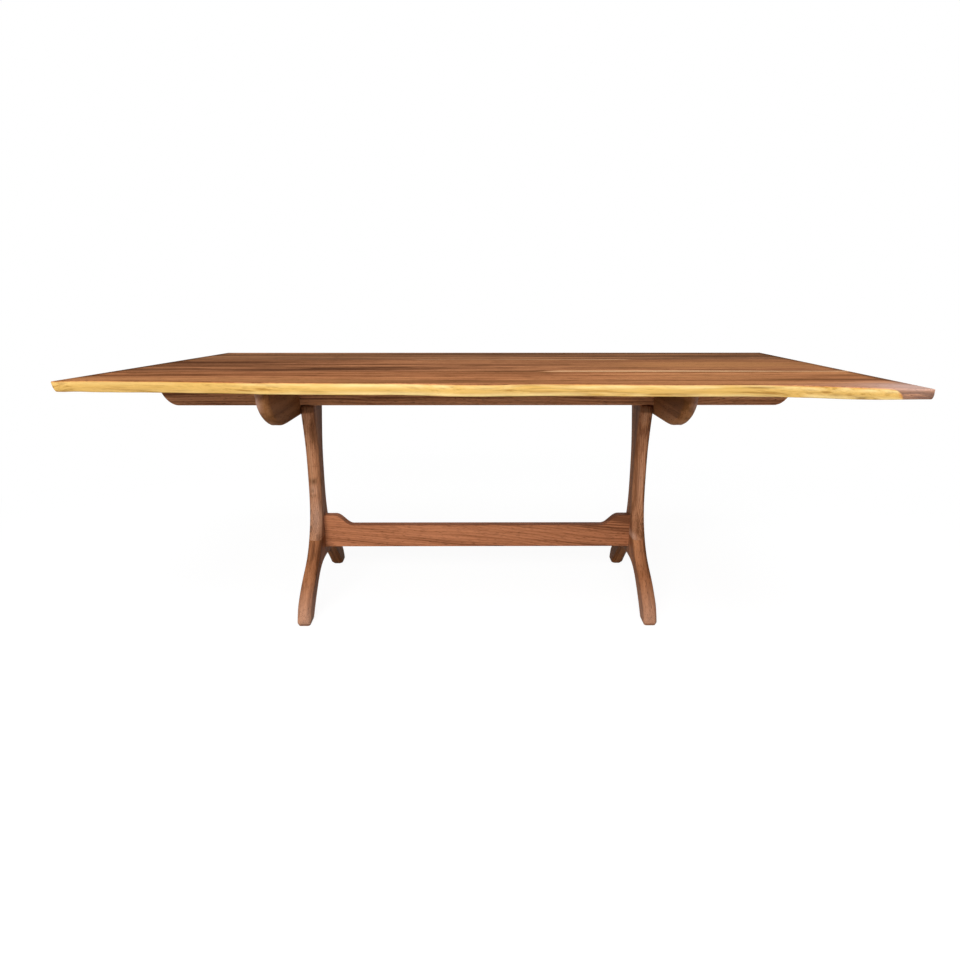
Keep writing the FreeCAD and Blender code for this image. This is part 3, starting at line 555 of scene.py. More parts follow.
edge_poles = [(a, FRONT_LEFT + (FRONT_RIGHT - FRONT_LEFT) * a + HOLLOW * h) for a, h in LIVE_EDGE]
edge_line = pole_curve(edge_poles, EDGE_STEPS)
edge_y = np.interp(share, edge_line[:, 0], edge_line[:, 1])
near_left = 1 - ramp(0, 0.05, share)
back = UNDERCUT * (1 - 0.2 * near_left - 0.65 * ramp(0.93, 1, share))
lift = 0.003 * near_left + 0.0065 * ramp(0.92, 1, share)
ripple = 0.0012 * np.sin(share * 61 + 1.3) + 0.0008 * np.sin(share * 143)
ripple *= ramp(0, 0.04, share) * ramp(0, 0.04, 1 - share)
low_y = edge_y + back + ripple
belly_y = (edge_y + low_y) / 2 - BELLY - ripple
corners = corner_rows(
    (SEAM_FRONT, UNDERSIDE + inset),
    (low_y + LOW_BEVEL + BEVEL_SPREAD * lift + inset, UNDERSIDE + inset),
    (low_y + inset, UNDERSIDE + LOW_FLAT + lift + inset),
    (belly_y + inset, BELLY_LEVEL),
    (edge_y + EDGE_GAP + inset, TOP - inset),
    (SEAM_FRONT, TOP - inset))
board = lay_board(section(corners, FRONT_RADII, 6, [14, 2, 3, 3, 48, 2]))
print("live edge from", edge_y.min(), "to", edge_y.max())

# %% [markdown]
# Under the bark lies pale sapwood with a sharp border to the heartwood, and the edge has scars and
# creamy bands. A painted picture could show them; here each mark is a number stored at the mesh's points,
# so that it keeps its place on the board and needs no image.

# %% Front board: marks
FRONT_STREAKS = [
    (-0.055, -0.431, 0.09, 0.007, 0.8), (0.1, -0.245, 0.12, 0.01, 0.5), (0.86, -0.4, 0.17, 0.016, 1),
    (0.72, -0.33, 0.1, 0.008, 0.6), (0.98, -0.3, 0.1, 0.02, 0.7), (-0.45, -0.3, 0.16, 0.01, 0.5),
    (-0.8, -0.28, 0.12, 0.014, 0.6), (0.52, SEAM_FRONT - 0.012, 0.5, 0.014, 0.9)]
SCARS = [
    (0.899, 0.7355, 0.01, 0.003, 1), (0.675, 0.755, 0.04, 0.0025, 0.8), (-0.62, 0.752, 0.05, 0.002, 0.4),
    (0.02, 0.752, 0.03, 0.002, 0.4), (0.8, 0.745, 0.03, 0.002, 0.4), (0.845, 0.741, 0.014, 0.004, 0.5),
    (-0.9, 0.744, 0.03, 0.002, 0.5), (-0.74, 0.738, 0.04, 0.002, 0.4)]
# Painted sheen: grey patches at the right front corner of the top.
CORNER_SHEEN = [(1.01, -0.55, 0.1, 0.08, 1), (0.88, -0.52, 0.14, 0.05, 0.18)]
WARM_AREA = [(0.62, -0.36, 0.24, 0.08, 0.6)]
HEART_FROM = 0.945
HEART_LEAN = 0.033
FACE_WIDE = 0.02


def gather(x, y, marks):
    """The sum of soft ellipses exp(-(dx/length)^2 - (dy/width)^2), each with its own strength."""
    total = np.zeros_like(x)
    for middle_x, middle_y, length, width, strength in marks:
        total += strength * np.exp(-((x - middle_x) / length) ** 2 - ((y - middle_y) / width) ** 2)
    return np.clip(total, 0, 1)


x, y, z = np.moveaxis(board, -1, 0)
low_share = (TOP - z) / (TOP - UNDERSIDE)
past_edge = y - edge_y[:, None]
on_face = past_edge < FACE_WIDE
sap_depth = (past_edge - back[:, None] * low_share) * (1 - 0.6 * ramp(TOP - 0.01, UNDERSIDE, z))
sap_depth += 0.006 * ramp(TOP - 0.005, TOP - 0.0005, z)
sap_depth += 0.6 * np.maximum(x - HEART_FROM - HEART_LEAN * low_share, 0)
heart_end = ramp(0.94, 0.96, x) * on_face * (1 - 0.7 * ramp(TOP - 0.01, TOP, z))
streaks = np.maximum(gather(x, y, FRONT_STREAKS), heart_end)
streaks = np.maximum(streaks, painted_end_shade * (past_edge > 0.01))
scars = np.maximum(gather(x, z, SCARS) * on_face, 0.14 * (1 - ramp(-0.85, -0.35, x)))
# Painted sheen, strongest on the upper face.
grey = gather(x, y, CORNER_SHEEN) * (0.32 + 0.68 * ramp(TOP - 0.007, TOP - 0.001, z))
warm = 0.75 * np.exp(-((past_edge - 0.045) / 0.05) ** 2) * (past_edge > 0.004)
warm = np.maximum(warm * (1 - 0.45 * np.exp(-(x / 0.35) ** 2)), gather(x, y, WARM_AREA))
cream = np.exp(-((TOP - 0.006 - z) / 0.005) ** 2) + 0.9 * np.exp(-((z - UNDERSIDE - 0.005) / 0.005) ** 2)
cream = np.clip(cream * (0.3 + 0.7 * ramp(-0.8, -0.3, x)), 0, 1)
print("points lie up to", sap_depth.max(), "under the bark")

# %% Front board: piece


def add_board(place, board, offset, pith, ring, tones, marks, **finish):
    """A board of the top, with its marks stored at its points."""
    wood = walnut(f"walnut_{place}_board", ALONG_X, offset, pith, ring, tones, flecks=0.25,
                  marks=tuple(marks), gloss=0, blotch=0.42, **finish)
    add_tube(f"{place}_board", board, [f"top_board_{place}"], wood, marks)


SAP_EDGE = {"light": srgb(234, 190, 108), "vein": srgb(190, 142, 70), "border": srgb(226, 154, 82),
            "cream": srgb(252, 222, 154), "scar": srgb(122, 76, 40),
            "from": 0.0035, "to": 0.007, "ragged": 0.007}
WARM_PATCH = srgb(200, 140, 92)
FRONT_TONES = (srgb(110, 68, 43), srgb(176, 114, 76), srgb(214, 148, 100))
front_marks = {"sap": sap_depth, "streak": streaks, "scar": scars, "pale": warm, "grey": grey, "cream": cream}
add_board("front", board, (0.3, 0.02, 0), (-0.33, 0.69), 0.006, FRONT_TONES, front_marks, sap=SAP_EDGE,
          fade=0.04, pale_tone=WARM_PATCH)

# %% [markdown]
# The middle and rear boards are plain planks: rectangles with the free arrises eased. The middle board
# was cut near the bark on both sides, and a thread of pale sapwood shows along each seam for part of its
# length. It is stored as a depth again, so the same sapwood finish serves.

# %% Middle board
MIDDLE_STREAKS = [
    (-0.47, -0.075, 0.12, 0.01, 0.9), (-0.25, -0.052, 0.09, 0.006, 1), (-0.03, -0.04, 0.08, 0.006, 0.9),
    (0.065, -0.19, 0.09, 0.006, 0.9), (0.55, -0.02, 0.1, 0.01, 0.6), (0.8, -0.03, 0.1, 0.009, 0.7),
    (-0.78, -0.05, 0.15, 0.012, 0.7), (0.3, 0.08, 0.16, 0.012, 0.5),
    (0.52, SEAM_FRONT + 0.002, 0.5, 0.011, 1)]
MIDDLE_LIGHT = [(0.7, -0.03, 0.35, 0.09, 0.8), (0.8, 0.04, 0.28, 0.08, 0.9)]
SAP_THREAD = {"light": srgb(246, 200, 156), "vein": srgb(232, 180, 128), "border": srgb(212, 152, 104),
              "from": 0.0035, "to": 0.0085, "ragged": 0.011}
MIDDLE_TONES = (srgb(98, 63, 43), srgb(166, 110, 76), srgb(204, 140, 97))
NO_SAP = 0.02


def straight_board(front, rear, rear_ease):
    """Rectangles drawn in at the ends. Rear arrises are rounded where they are free; seams stay tight."""
    back_y = rear - (inset if rear_ease else 0)
    corners = corner_rows((back_y, UNDERSIDE + inset), (front, UNDERSIDE + inset), (front, TOP - inset),
                          (back_y, TOP - inset))
    rear_radius = rear_ease or TINY
    return lay_board(section(corners, [rear_radius, TINY, TINY, rear_radius], 5, [14, 2, 60, 3]))


board = straight_board(SEAM_FRONT, SEAM_REAR, 0)
x, y, z = np.moveaxis(board, -1, 0)
shown_front = ramp(0.05, 0.25, x)
shown_rear = ramp(-0.3, -0.18, x) * ramp(-0.7, -0.45, -x)
wide_front = 0.19 + 0.06 * ramp(0.5, 0.95, x)
sap_depth = np.minimum((y - SEAM_FRONT) * wide_front + NO_SAP * (1 - shown_front),
                       (SEAM_REAR - y) * 0.4 + NO_SAP * (1 - shown_rear))
middle_marks = {"sap": sap_depth, "streak": np.maximum(gather(x, y, MIDDLE_STREAKS), painted_end_shade),
                "pale": gather(x, y, MIDDLE_LIGHT)}
add_board("middle", board, (1.7, 0.11, 0.03), (0.05, 0.6), 0.007, MIDDLE_TONES, middle_marks, streaks=0.6,
          sap=SAP_THREAD, fade=0.03, pale_tone=WARM_PATCH)

# %% Rear board
REAR_STREAKS = [(0.75, 0.3, 0.3, 0.02, 0.7), (-0.5, 0.33, 0.3, 0.02, 0.5), (0.1, 0.42, 0.4, 0.02, 0.5)]
REAR_TONES = (srgb(97, 68, 50), srgb(157, 111, 80), srgb(196, 138, 98))
board = straight_board(SEAM_REAR, REAR_EDGE, TOP_EASE)
x, y, z = np.moveaxis(board, -1, 0)
rear_marks = {"streak": np.maximum(gather(x, y, REAR_STREAKS), painted_end_shade)}
add_board("rear", board, (3.1, -0.07, 0.05), (0.47, 0.66), 0.006, REAR_TONES, rear_marks, streaks=0.6)

# %% [markdown]
# Rails, bearers and the stretcher are sawn to an outline and eased by hand, so each is an outline with a
# thickness. Holes and laps are cut afterwards, as on the bench: a round counterbore for a screw's head, a
# slotted one where the wide top must be free to move, and a square notch where a rail crosses a bearer.
# They could be part of the outline's grid; a Boolean modifier, applied at once, keeps that grid plain.

# %% Cutters for holes and laps
CUT_STEPS = 48
SQUARE = np.array([(-1, -1), (1, -1), (1, 1), (-1, 1)])


def prism(ring, low, high):
    """A cutter with a ring of points as its outline, from one height to another."""
    rings = [rows(*ring.T, level) for level in (low, high)]
    return join(rings), tube_faces(2, len(ring))


def stadium(middle, travel, radius, low, high):
    """A cutter: a circle of a radius, drawn out along Y by a travel."""
    turn = np.linspace(0, 2 * math.pi, CUT_STEPS, endpoint=False)
    ring_y = radius * np.sin(turn) + travel / 2 * np.sign(np.sin(turn))
    return prism(rows(radius * np.cos(turn), ring_y) + middle, low, high)


def notch(middle, half, low, high):
    """A cutter: a box about a middle, with its half length and half width."""
    return prism(SQUARE * half + middle, low, high)


def merged(shapes):
    """Several shapes, each with points and faces, as one."""
    faces = []
    count = 0
    for shape in shapes:
        faces += [[count + corner for corner in face] for face in shape[1]]
        count += len(shape[0])
    return join([shape[0] for shape in shapes]), faces


print("round cutters have", CUT_STEPS, "sides")

# %% Cutting with a Boolean


def cut(piece, cutters):
    """Take the cutters' shapes out of a piece."""
    points, faces = merged(cutters)
    mesh = bpy.data.meshes.new("cutter")
    mesh.from_pydata(points + MIDDLE, [], faces)
    tool = placed("cutter", mesh)
    modifier = piece.modifiers.new("cut", "BOOLEAN")
    modifier.operation = "DIFFERENCE"
    modifier.solver = "EXACT"
    modifier.object = tool
    bpy.context.view_layer.update()
    ready = piece.evaluated_get(bpy.context.evaluated_depsgraph_get())
    result = bpy.data.meshes.new_from_object(ready)
    piece.modifiers.remove(modifier)
    old = piece.data
    piece.data = result
    bpy.data.meshes.remove(old)
    bpy.data.objects.remove(tool)
    bpy.data.meshes.remove(mesh)
    finish_surface(result)
    print(piece.name, "after its cuts:", len(result.polygons), "faces")


# %% [markdown]
# The two rails run under the top along its length, and their ends sweep up to it. Such a bar could be a
# curve with a bevel; an outline is chosen because only the lower edge is curved and the upper one lies
# flat against the top.

# %% Rails: measures and edges
rail_low, rail_high = corners_of("rail_front")
RAIL_REACH, RAIL_HALF = (rail_high[:2] - rail_low[:2]) / 2
RAIL_BOTTOM = rail_low[2]
RAIL_HEIGHT = rail_high[2] - rail_low[2]
RAIL_Y = MIDDLE[1] - (rail_low[1] + rail_high[1]) / 2
RAIL_RUN = 0.06
RAIL_TIP = 0.0006
RAIL_EASE = 0.0035
HIDDEN_EASE = 0.0002
RAIL_SWEEP = [(RAIL_REACH - RAIL_RUN, RAIL_BOTTOM), (RAIL_REACH - RAIL_RUN * 0.45, RAIL_BOTTOM),
              (RAIL_REACH, RAIL_BOTTOM + RAIL_HEIGHT * 0.45), (RAIL_REACH, UNDERSIDE - RAIL_TIP)]


def level_run(stop, count, level):
    """A level edge from a bar's middle up to the stop, where the next stretch begins."""
    return rows(np.linspace(0, stop, count)[:-1], level)


def both_ways(*stretches):
    """A long edge from end to end: the stretches of its right half, and their mirror image."""
    half_edge = join(stretches)
    return join([half_edge[:0:-1] * (-1, 1), half_edge])


lower = both_ways(level_run(RAIL_REACH - RAIL_RUN, 50, RAIL_BOTTOM), pole_curve(RAIL_SWEEP, 28))
upper = rows(lower[:, 0], UNDERSIDE)
ease = join([np.minimum(RAIL_EASE, 0.4 * (UNDERSIDE - lower[:, 1])),
                       np.full(len(upper), HIDDEN_EASE)])
outline, faces = slab(lower, upper, RAIL_HALF, ease)
print("a rail is", 2 * RAIL_REACH, "m long and", RAIL_HEIGHT, "m high")

# %% Rails
LAP = UNDERSIDE - RAIL_HEIGHT / 2
BEARER_HALF = 0.0185
BEARER_X = COLUMN_FACE + BEARER_HALF
WASHER_SEAT = UNDERSIDE - 0.036
SCREW_ROOM = 0.0085
SCREW_PLACES = (0.26, RAIL_REACH - 0.18)
OVERRUN = 0.003
RAIL_TONES = (srgb(130, 87, 60), srgb(196, 136, 96), srgb(226, 166, 124))
for end, sign in ENDS:
    points = outline + (0, sign * RAIL_Y, 0)
    wood = walnut(f"walnut_rail_{end}", ALONG_X, (0.9 + sign, 0.2 * sign, 0.1),
                  (sign * RAIL_Y + 0.06, 0.6), 0.005, RAIL_TONES, lift=-0.02, streaks=0.3, flecks=0.2,
                  fade=0.03)
    rail = add_piece(f"rail_bar_{end}", points, faces, [f"rail_{end}"], wood)
    below = RAIL_BOTTOM - OVERRUN
    cutters = [stadium((side * place, sign * RAIL_Y), 0, SCREW_ROOM, below, WASHER_SEAT)
               for side in (-1, 1) for place in SCREW_PLACES]
    cutters += [notch((side * BEARER_X, sign * RAIL_Y), (BEARER_HALF, RAIL_HALF + OVERRUN), below, LAP)
                for side in (-1, 1)]
    cut(rail, cutters)

# %% [markdown]
# A bearer lies against the outer face of each column and carries the top from front to back. Its ends
# were rounded more than the rest, so the ease of its arris grows along the sweep. It is made as the rail
# is, and turned to run along Y.

# %% Bearers
bearer_low, bearer_high = corners_of("bearer_left")
BEARER_REACH = (bearer_high[1] - bearer_low[1]) / 2
BEARER_BOTTOM = bearer_low[2]
BEARER_RUN = 0.134
BEARER_RISE = 0.092
BEARER_EASE = 0.0045
SWEPT_EASE = 0.0085
BEARER_TONES = (srgb(116, 75, 42), srgb(144, 97, 60), srgb(160, 112, 74))
SLOT = 0.008
SLOT_PLACES = (SEAM_FRONT - 0.04, SEAM_REAR + 0.04)
BEARER_SWEEP = [(0, 0), (0.41, 0), (1, 0.52), (1, 1)]
sweep = pole_curve([(BEARER_REACH - BEARER_RUN * (1 - run), BEARER_BOTTOM + BEARER_RISE * rise)
                    for run, rise in BEARER_SWEEP], 36)
lower = both_ways(level_run(BEARER_REACH - BEARER_RUN, 16, BEARER_BOTTOM), sweep)
upper = rows(lower[:, 0], UNDERSIDE)
swept = ramp(BEARER_REACH - 1.25 * BEARER_RUN, BEARER_REACH - 0.6 * BEARER_RUN, np.abs(lower[:, 0]))
ease = join([BEARER_EASE + SWEPT_EASE * swept, np.full(len(upper), HIDDEN_EASE)])
outline, faces = slab(lower, upper, BEARER_HALF, ease)
for side, sign in SIDES:
    points = rows(outline[:, 1] + sign * BEARER_X, outline[:, 0], outline[:, 2])
    wood = walnut(f"walnut_bearer_{side}", ALONG_Y, (0.4 * sign, 0.5 * sign, 0.2), (0.6 * sign, 0.75), 0.005,
                  BEARER_TONES, streaks=0.15, flecks=0.15, marks=("grey",), figure=0.03, end_dark=0)
    # Painted sheen: a grey patch on the upper outer arris of each bearer's swept front end.
    grey = 0.5 * ramp(0.05, 0.004, BEARER_REACH + points[:, 1])
    grey *= ramp(0, 0.014, sign * points[:, 0] - BEARER_X)
    grey *= ramp(BEARER_BOTTOM + 0.035, BEARER_BOTTOM + 0.075, points[:, 2])
    bearer = add_piece(f"bearer_bar_{side}", points, faces, [f"bearer_{side}"], wood,
                       {"grey": grey})
    cutters = [stadium((sign * BEARER_X, place), SLOT, SCREW_ROOM, BEARER_BOTTOM - OVERRUN, WASHER_SEAT)
               for place in SLOT_PLACES]
    cutters += [notch((sign * BEARER_X, end * RAIL_Y), (BEARER_HALF + OVERRUN, RAIL_HALF), LAP,
                      UNDERSIDE + OVERRUN) for end in (-1, 1)]
    cut(bearer, cutters)

# %% [markdown]
# The stretcher ties the trestles together. Beside each column its upper edge lifts, which leaves more
# timber for the joint. Here the shaped edge is the upper one. The grain slants a little, as sawn boards'
# often does, and holes in the rear face let the barrel nuts in.

# %% Stretcher: shape
stretcher_low, stretcher_high = corners_of("stretcher")
STRETCHER_BOTTOM = stretcher_low[2]
STRETCHER_CROWN = stretcher_high[2]
LIFT_HIGH = 0.034
STRETCHER_TOP = STRETCHER_CROWN - LIFT_HIGH
STRETCHER_HALF = (stretcher_high[1] - stretcher_low[1]) / 2
INNER_FACE = TRESTLE - HALF_THICK
LIFT_FLAT = 0.043
LIFT_RUN = 0.05
LET_IN = 0.006
STRETCHER_EASE = 0.0036
LIFT_SHAPE = [(0, 0), (0.42, 0), (0.7, 0.97), (1.14, 1)]
rise_from = INNER_FACE - LIFT_FLAT - LIFT_RUN
lift_poles = np.array(LIFT_SHAPE) * (LIFT_RUN, STRETCHER_CROWN - STRETCHER_TOP) + (rise_from, STRETCHER_TOP)
curve = pole_curve(lift_poles, 30)
crown = rows(np.linspace(curve[-1, 0], INNER_FACE + LET_IN, 10)[1:], STRETCHER_CROWN)
upper = both_ways(level_run(rise_from, 40, STRETCHER_TOP), curve, crown)
outline, faces = slab(rows(upper[:, 0], STRETCHER_BOTTOM), upper, STRETCHER_HALF, STRETCHER_EASE)
print("stretcher lifts from", rise_from, "to", curve[-1, 0])

# %% Stretcher
NUT_X = INNER_FACE - 0.04
NUT_LEVEL = JOINT + 0.029
NUT_ROOM = 0.0071
NUT_DEEP = -0.013
STRETCHER_TONES = (srgb(114, 70, 46), srgb(166, 106, 72), srgb(192, 126, 89))
SLANTING = ((0, math.radians(-5), 0), (1, 0, 0))


def sideways(shape):
    """A cutter turned from along Z to along Y."""
    return shape[0][:, (0, 2, 1)], [face[::-1] for face in shape[1]]


wood = walnut("walnut_stretcher", SLANTING, (2.2, 0.4, 0.3), (0.03, 0.1), 0.006, STRETCHER_TONES,
              lift=0.015, streaks=0.2, flecks=0.25, fade=-0.11)
stretcher = add_piece("stretcher_bar", outline, faces, ["stretcher"], wood)
nut_holes = [stadium((side * NUT_X, NUT_LEVEL), 0, NUT_ROOM, NUT_DEEP, STRETCHER_HALF + OVERRUN)
             for side in (-1, 1)]
cut(stretcher, [sideways(hole) for hole in nut_holes])

# %% [markdown]
# The trestles were shaped by hand. Columns and legs have flat faces with soft chamfers between them,
# which grow and shrink along the piece. A bevel modifier would give one even width, so each is a section
# with eight slightly rounded corners carried along it. A column's shoulder is rounded below the neck.

# %% Columns: shape
SOFT = 0.0025
NECK = 0.02
NECK_CUT = 0.001
SHOULDER_HALF = 0.0715
WAIST_HALF = 0.033
ROUND_HIGH = 0.024
ROUND_DEEP = 0.0125
UPPER_SHAPE = [(1, 1), (0.43, 0.805), (0.05, 0.663)]
LOWER_SHAPE = [(0, 0.493), (0.02, 0.322), (0.24, 0.161), (0.58, 0.071), (1, 0)]


def eight(half_x, low_y, high_y, cut_low, cut_high):
    """Corners of rectangles with four chamfers, one for each station."""
    return corner_rows(
        (half_x, low_y + cut_low), (half_x, high_y - cut_high), (half_x - cut_high, high_y),
        (-half_x + cut_high, high_y), (-half_x, high_y - cut_high), (-half_x, low_y + cut_low),
        (-half_x + cut_low, low_y), (half_x - cut_low, low_y))


column_half = (left_high[1] - left_low[1]) / 2
tall = SHOULDER - JOINT
side_poles = [(WAIST_HALF + (half - WAIST_HALF) * out, JOINT + tall * up)
              for half, shape in ((SHOULDER_HALF, UPPER_SHAPE), (column_half, LOWER_SHAPE))
              for out, up in shape]
half_depth, level = even(pole_curve(side_poles, 800), 120)[::-1].T
up_share = (level - JOINT) / tall
chamfer = 0.0095 + 0.003 * ramp(0.55, 0.95, up_share) - 0.0015 * ramp(0.2, 0.5, up_share)
round_share = np.linspace(0, 1, 12)[1:]
straight_part = level < SHOULDER - ROUND_HIGH
round_level = SHOULDER - ROUND_HIGH * (1 - round_share)
round_half = np.interp(round_level, level, half_depth) - ROUND_DEEP * (1 - np.sqrt(1 - round_share ** 2))
all_level = join([level[straight_part], round_level, [SHOULDER, UNDERSIDE]])
all_half = join([half_depth[straight_part], round_half, [NECK, NECK]])
all_chamfer = join([chamfer[straight_part], np.full(len(round_share), chamfer[-1]),
                              [NECK_CUT, NECK_CUT]])
loops = section(eight(HALF_THICK, -all_half, all_half, all_chamfer, all_chamfer), SOFT, 5, [3] * 8)
print("column's half depth from", half_depth.min(), "to", half_depth.max())

# %% Columns
COLUMN_KNOTS = {"left": [(-0.53, 0.392, 0.011, 0.01, 1), (-0.536, 0.345, 0.012, 0.004, 0.6),
                         (-0.52, 0.443, 0.016, 0.003, 0.4)],
                "right": [(0.52, 0.33, 0.006, 0.03, 0.4)]}
COLUMN_PATCHES = {"left": [(-0.524, 0.275, 0.022, 0.06, 0.7), (-0.53, 0.365, 0.014, 0.016, 0.4)],
                  "right": [(0.508, 0.213, 0.009, 0.012, 1), (0.53, 0.4, 0.01, 0.06, 0.3)]}
COLUMN_TONES = (srgb(122, 79, 52), srgb(174, 120, 86), srgb(202, 149, 112))


def side_faces(loops):
    """1 on the flat faces that look along X, and 0 on the rest."""
    return ramp(HALF_THICK - 0.004, HALF_THICK, np.abs(loops[..., 0]))


for side, sign in SIDES:
    points = rows(loops[..., 0] + sign * TRESTLE, loops[..., 1], all_level[:, None])
    x, y, z = np.moveaxis(points, -1, 0)
    front = y < 0
    # Painted shade: the rounded shoulder under the rails and the flat side faces are stored as dark streak,
    # together with the knots.
    shoulder = ramp(SHOULDER - ROUND_HIGH, SHOULDER - 0.85 * ROUND_HIGH, z)
    knots_and_shade = np.maximum(gather(x, z, COLUMN_KNOTS[side]) * front, 0.45 * side_faces(loops))
    knots_and_shade = np.maximum(knots_and_shade, 0.75 * shoulder)
    patches = gather(x, z, COLUMN_PATCHES[side]) * front
    wood = walnut(f"walnut_column_{side}", ALONG_Z, (0.3 * sign, 0.2, 0.7 * sign), (0.1, 0.05 * sign), 0.005,
                  COLUMN_TONES, streaks=0.3, flecks=0.2, marks=("streak", "pale"))
    add_tube(f"column_post_{side}", points, [f"column_{side}"], wood,
             {"streak": knots_and_shade, "pale": patches})

# %% [markdown]
# Two legs splay from each column's foot and meet below its middle. Each is carried along two lines at
# once: the outer curve, and the inner one, which runs down that joint and then along the arch between
# the legs. The front feet are painted paler, as painted light; the sides and the rear legs are painted
# darker, as painted shade.

# %% Legs: shape
FOOT_REACH = 0.27
HEEL = 0.222
CROTCH = 0.134
LEG_FRONT = [(0, 1), (0.1, 0.86), (0.31, 0.69), (0.6, 0.55), (0.86, 0.35), (1, 0.19), (1, 0)]
LEG_ARCH = [(0, 0), (0.13, 0.25), (0.36, 0.62), (0.6, 0.94), (0.82, 1), (1, 1)]
SOLE_EASE = 0.0035
LEG_STATIONS = 110
LINE_STEPS = 600
outer_poles = [(column_half + (FOOT_REACH - column_half) * run, JOINT * rise) for run, rise in LEG_FRONT]
outer = even(pole_curve(outer_poles, LINE_STEPS), LEG_STATIONS)
arch = pole_curve([(HEEL * (1 - run), CROTCH * rise) for run, rise in LEG_ARCH], LINE_STEPS)[::-1]
inner = even(join([[(0, JOINT)], arch]), LEG_STATIONS)
down = np.linspace(0, 1, LEG_STATIONS)
wide = np.linalg.norm(inner - outer, axis=1)
outer_cut = 0.0095 + 0.004 * np.sin(np.pi * np.clip((down - 0.15) / 0.75, 0, 1)) ** 2
outer_cut -= 0.005 * ramp(0.86, 0.99, down)
inner_cut = 0.0002 + 0.008 * ramp(0, 0.06, inner[:, 0])
sole = SOLE_EASE * ramp(0.955, 1, down) ** 2
loops = section(eight(HALF_THICK - sole, sole, wide - sole, outer_cut, inner_cut), SOFT, 5, [3] * 8)
spot = outer[:, None] + loops[..., 1:2] * ((inner - outer) / wide[:, None])[:, None]
print("a leg is", round(wide.min(), 3), "to", round(wide.max(), 3), "m wide")

# %% Legs
# Painted shade: the rear legs get darker tones than the front ones.
LEG_TONES_REAR_SHADED = {"front": (srgb(106, 66, 42), srgb(160, 104, 69), srgb(188, 127, 88)),
             "rear": (srgb(76, 44, 20), srgb(120, 72, 36), srgb(150, 96, 54))}
# Painted light: the front feet are painted paler towards the floor, a little more on the left.
painted_foot_light = np.broadcast_to(0.55 * ramp(0.4, 1, down)[:, None], loops.shape[:2])
for side, sign in SIDES:
    for end, way in ENDS:
        points = rows(loops[..., 0] + sign * TRESTLE, way * spot[..., 0], spot[..., 1])
        downhill = (0, way * math.sqrt(0.5), -math.sqrt(0.5))
        grain_way = ((math.radians(45) * way, 0, -math.pi / 2), downhill)
        lighter = 0.03 if (side, end) == ("left", "front") else 0
        wood = walnut(f"walnut_leg_{side}_{end}", grain_way, (0.3 * sign + 0.37, 0.4 * way + 0.23, 0.1),
                      (0.06 * sign, 0.08 * way), 0.005, LEG_TONES_REAR_SHADED[end], lift=lighter, streaks=0.2,
                      flecks=0.15, marks=("pale", "streak"), figure=0.04)
        foot_light = painted_foot_light * (way < 0) * (1.1 - 0.1 * sign)
        # Painted shade: the flat side faces are stored as dark streak.
        add_tube(f"leg_post_{side}_{end}", points, [f"leg_{side}_{end}"], wood,
                 {"pale": foot_light, "streak": 0.5 * side_faces(loops)})

# %% [markdown]
# Plugs hide the heads of the connector bolts. On hand-made work they stand a hair proud and are pillowed
# with sandpaper, so each is a small dome: a circle carried outwards while it shrinks. A squashed sphere
# would lack the straight side that sits in the hole.

# %% Plugs
PLUG = 0.0099
PLUG_STEPS = 40
DOME = np.array([(-0.003, 1), (0, 1), (0.00035, 0.985), (0.0007, 0.93), (0.0009, 0.75), (0.001, 0.45)])


def plug(x, z, sign):
    """Rings of the dome about an axis along X: height and share of the radius come from the table. A plug
    that looks to -X is mirrored, so its faces are turned."""
    turn = np.linspace(0, 2 * math.pi, PLUG_STEPS, endpoint=False)
    height, size = DOME[:, 0, None], DOME[:, 1, None] * PLUG
    rings = rows(x + sign * height, size * np.cos(turn), z + size * np.sin(turn))
    return rings.reshape(-1, 3), [face[::sign] for face in tube_faces(len(DOME), PLUG_STEPS)]


BOLT_LEVELS = [BEARER_BOTTOM + (UNDERSIDE - BEARER_BOTTOM) * part for part in (0.38, 0.75)]
BEARER_FACE = BEARER_X + BEARER_HALF
plug_wood = walnut("walnut_plug", ALONG_Y, (0.9, 0.3, 0.2), (0.05, 0.3), 0.004, lift=-0.06, streaks=0.4)
for bar, face_x, levels in (("stretcher", COLUMN_FACE, [NUT_LEVEL]), ("bearer", BEARER_FACE, BOLT_LEVELS)):
    points, faces = merged([plug(sign * face_x, level, sign) for sign in (-1, 1) for level in levels])
    add_piece(f"{bar}_plugs", points, faces, [f"{bar}_bolt_plugs"], plug_wood)

# %% [markdown]
# The fittings and the tongues and tenons inside the joints keep their solids. They are plain turned or
# sawn pieces, so they only need finishes: plated steel with fine turning marks, brass, and bare timber.

# %% Finishes for the fittings


def metal(name, bright, dull, rough):
    """Metal: two tones in fine streaks, and roughness that varies with them."""
    material, inputs, start = new_finish(name)
    place = start.node("ShaderNodeTexCoord", output="Object")
    scratch = place.noise((90, 90, 1400), 3)
    stain = place.noise((60, 60), 2)
    (scratch * 0.6 + stain * 0.4).between(0.3, 0.7).mix(dull, bright).feed(inputs["Base Color"])
    (scratch * 0.2 + rough).feed(inputs["Roughness"])
    inputs["Metallic"].default_value = 1
    return material


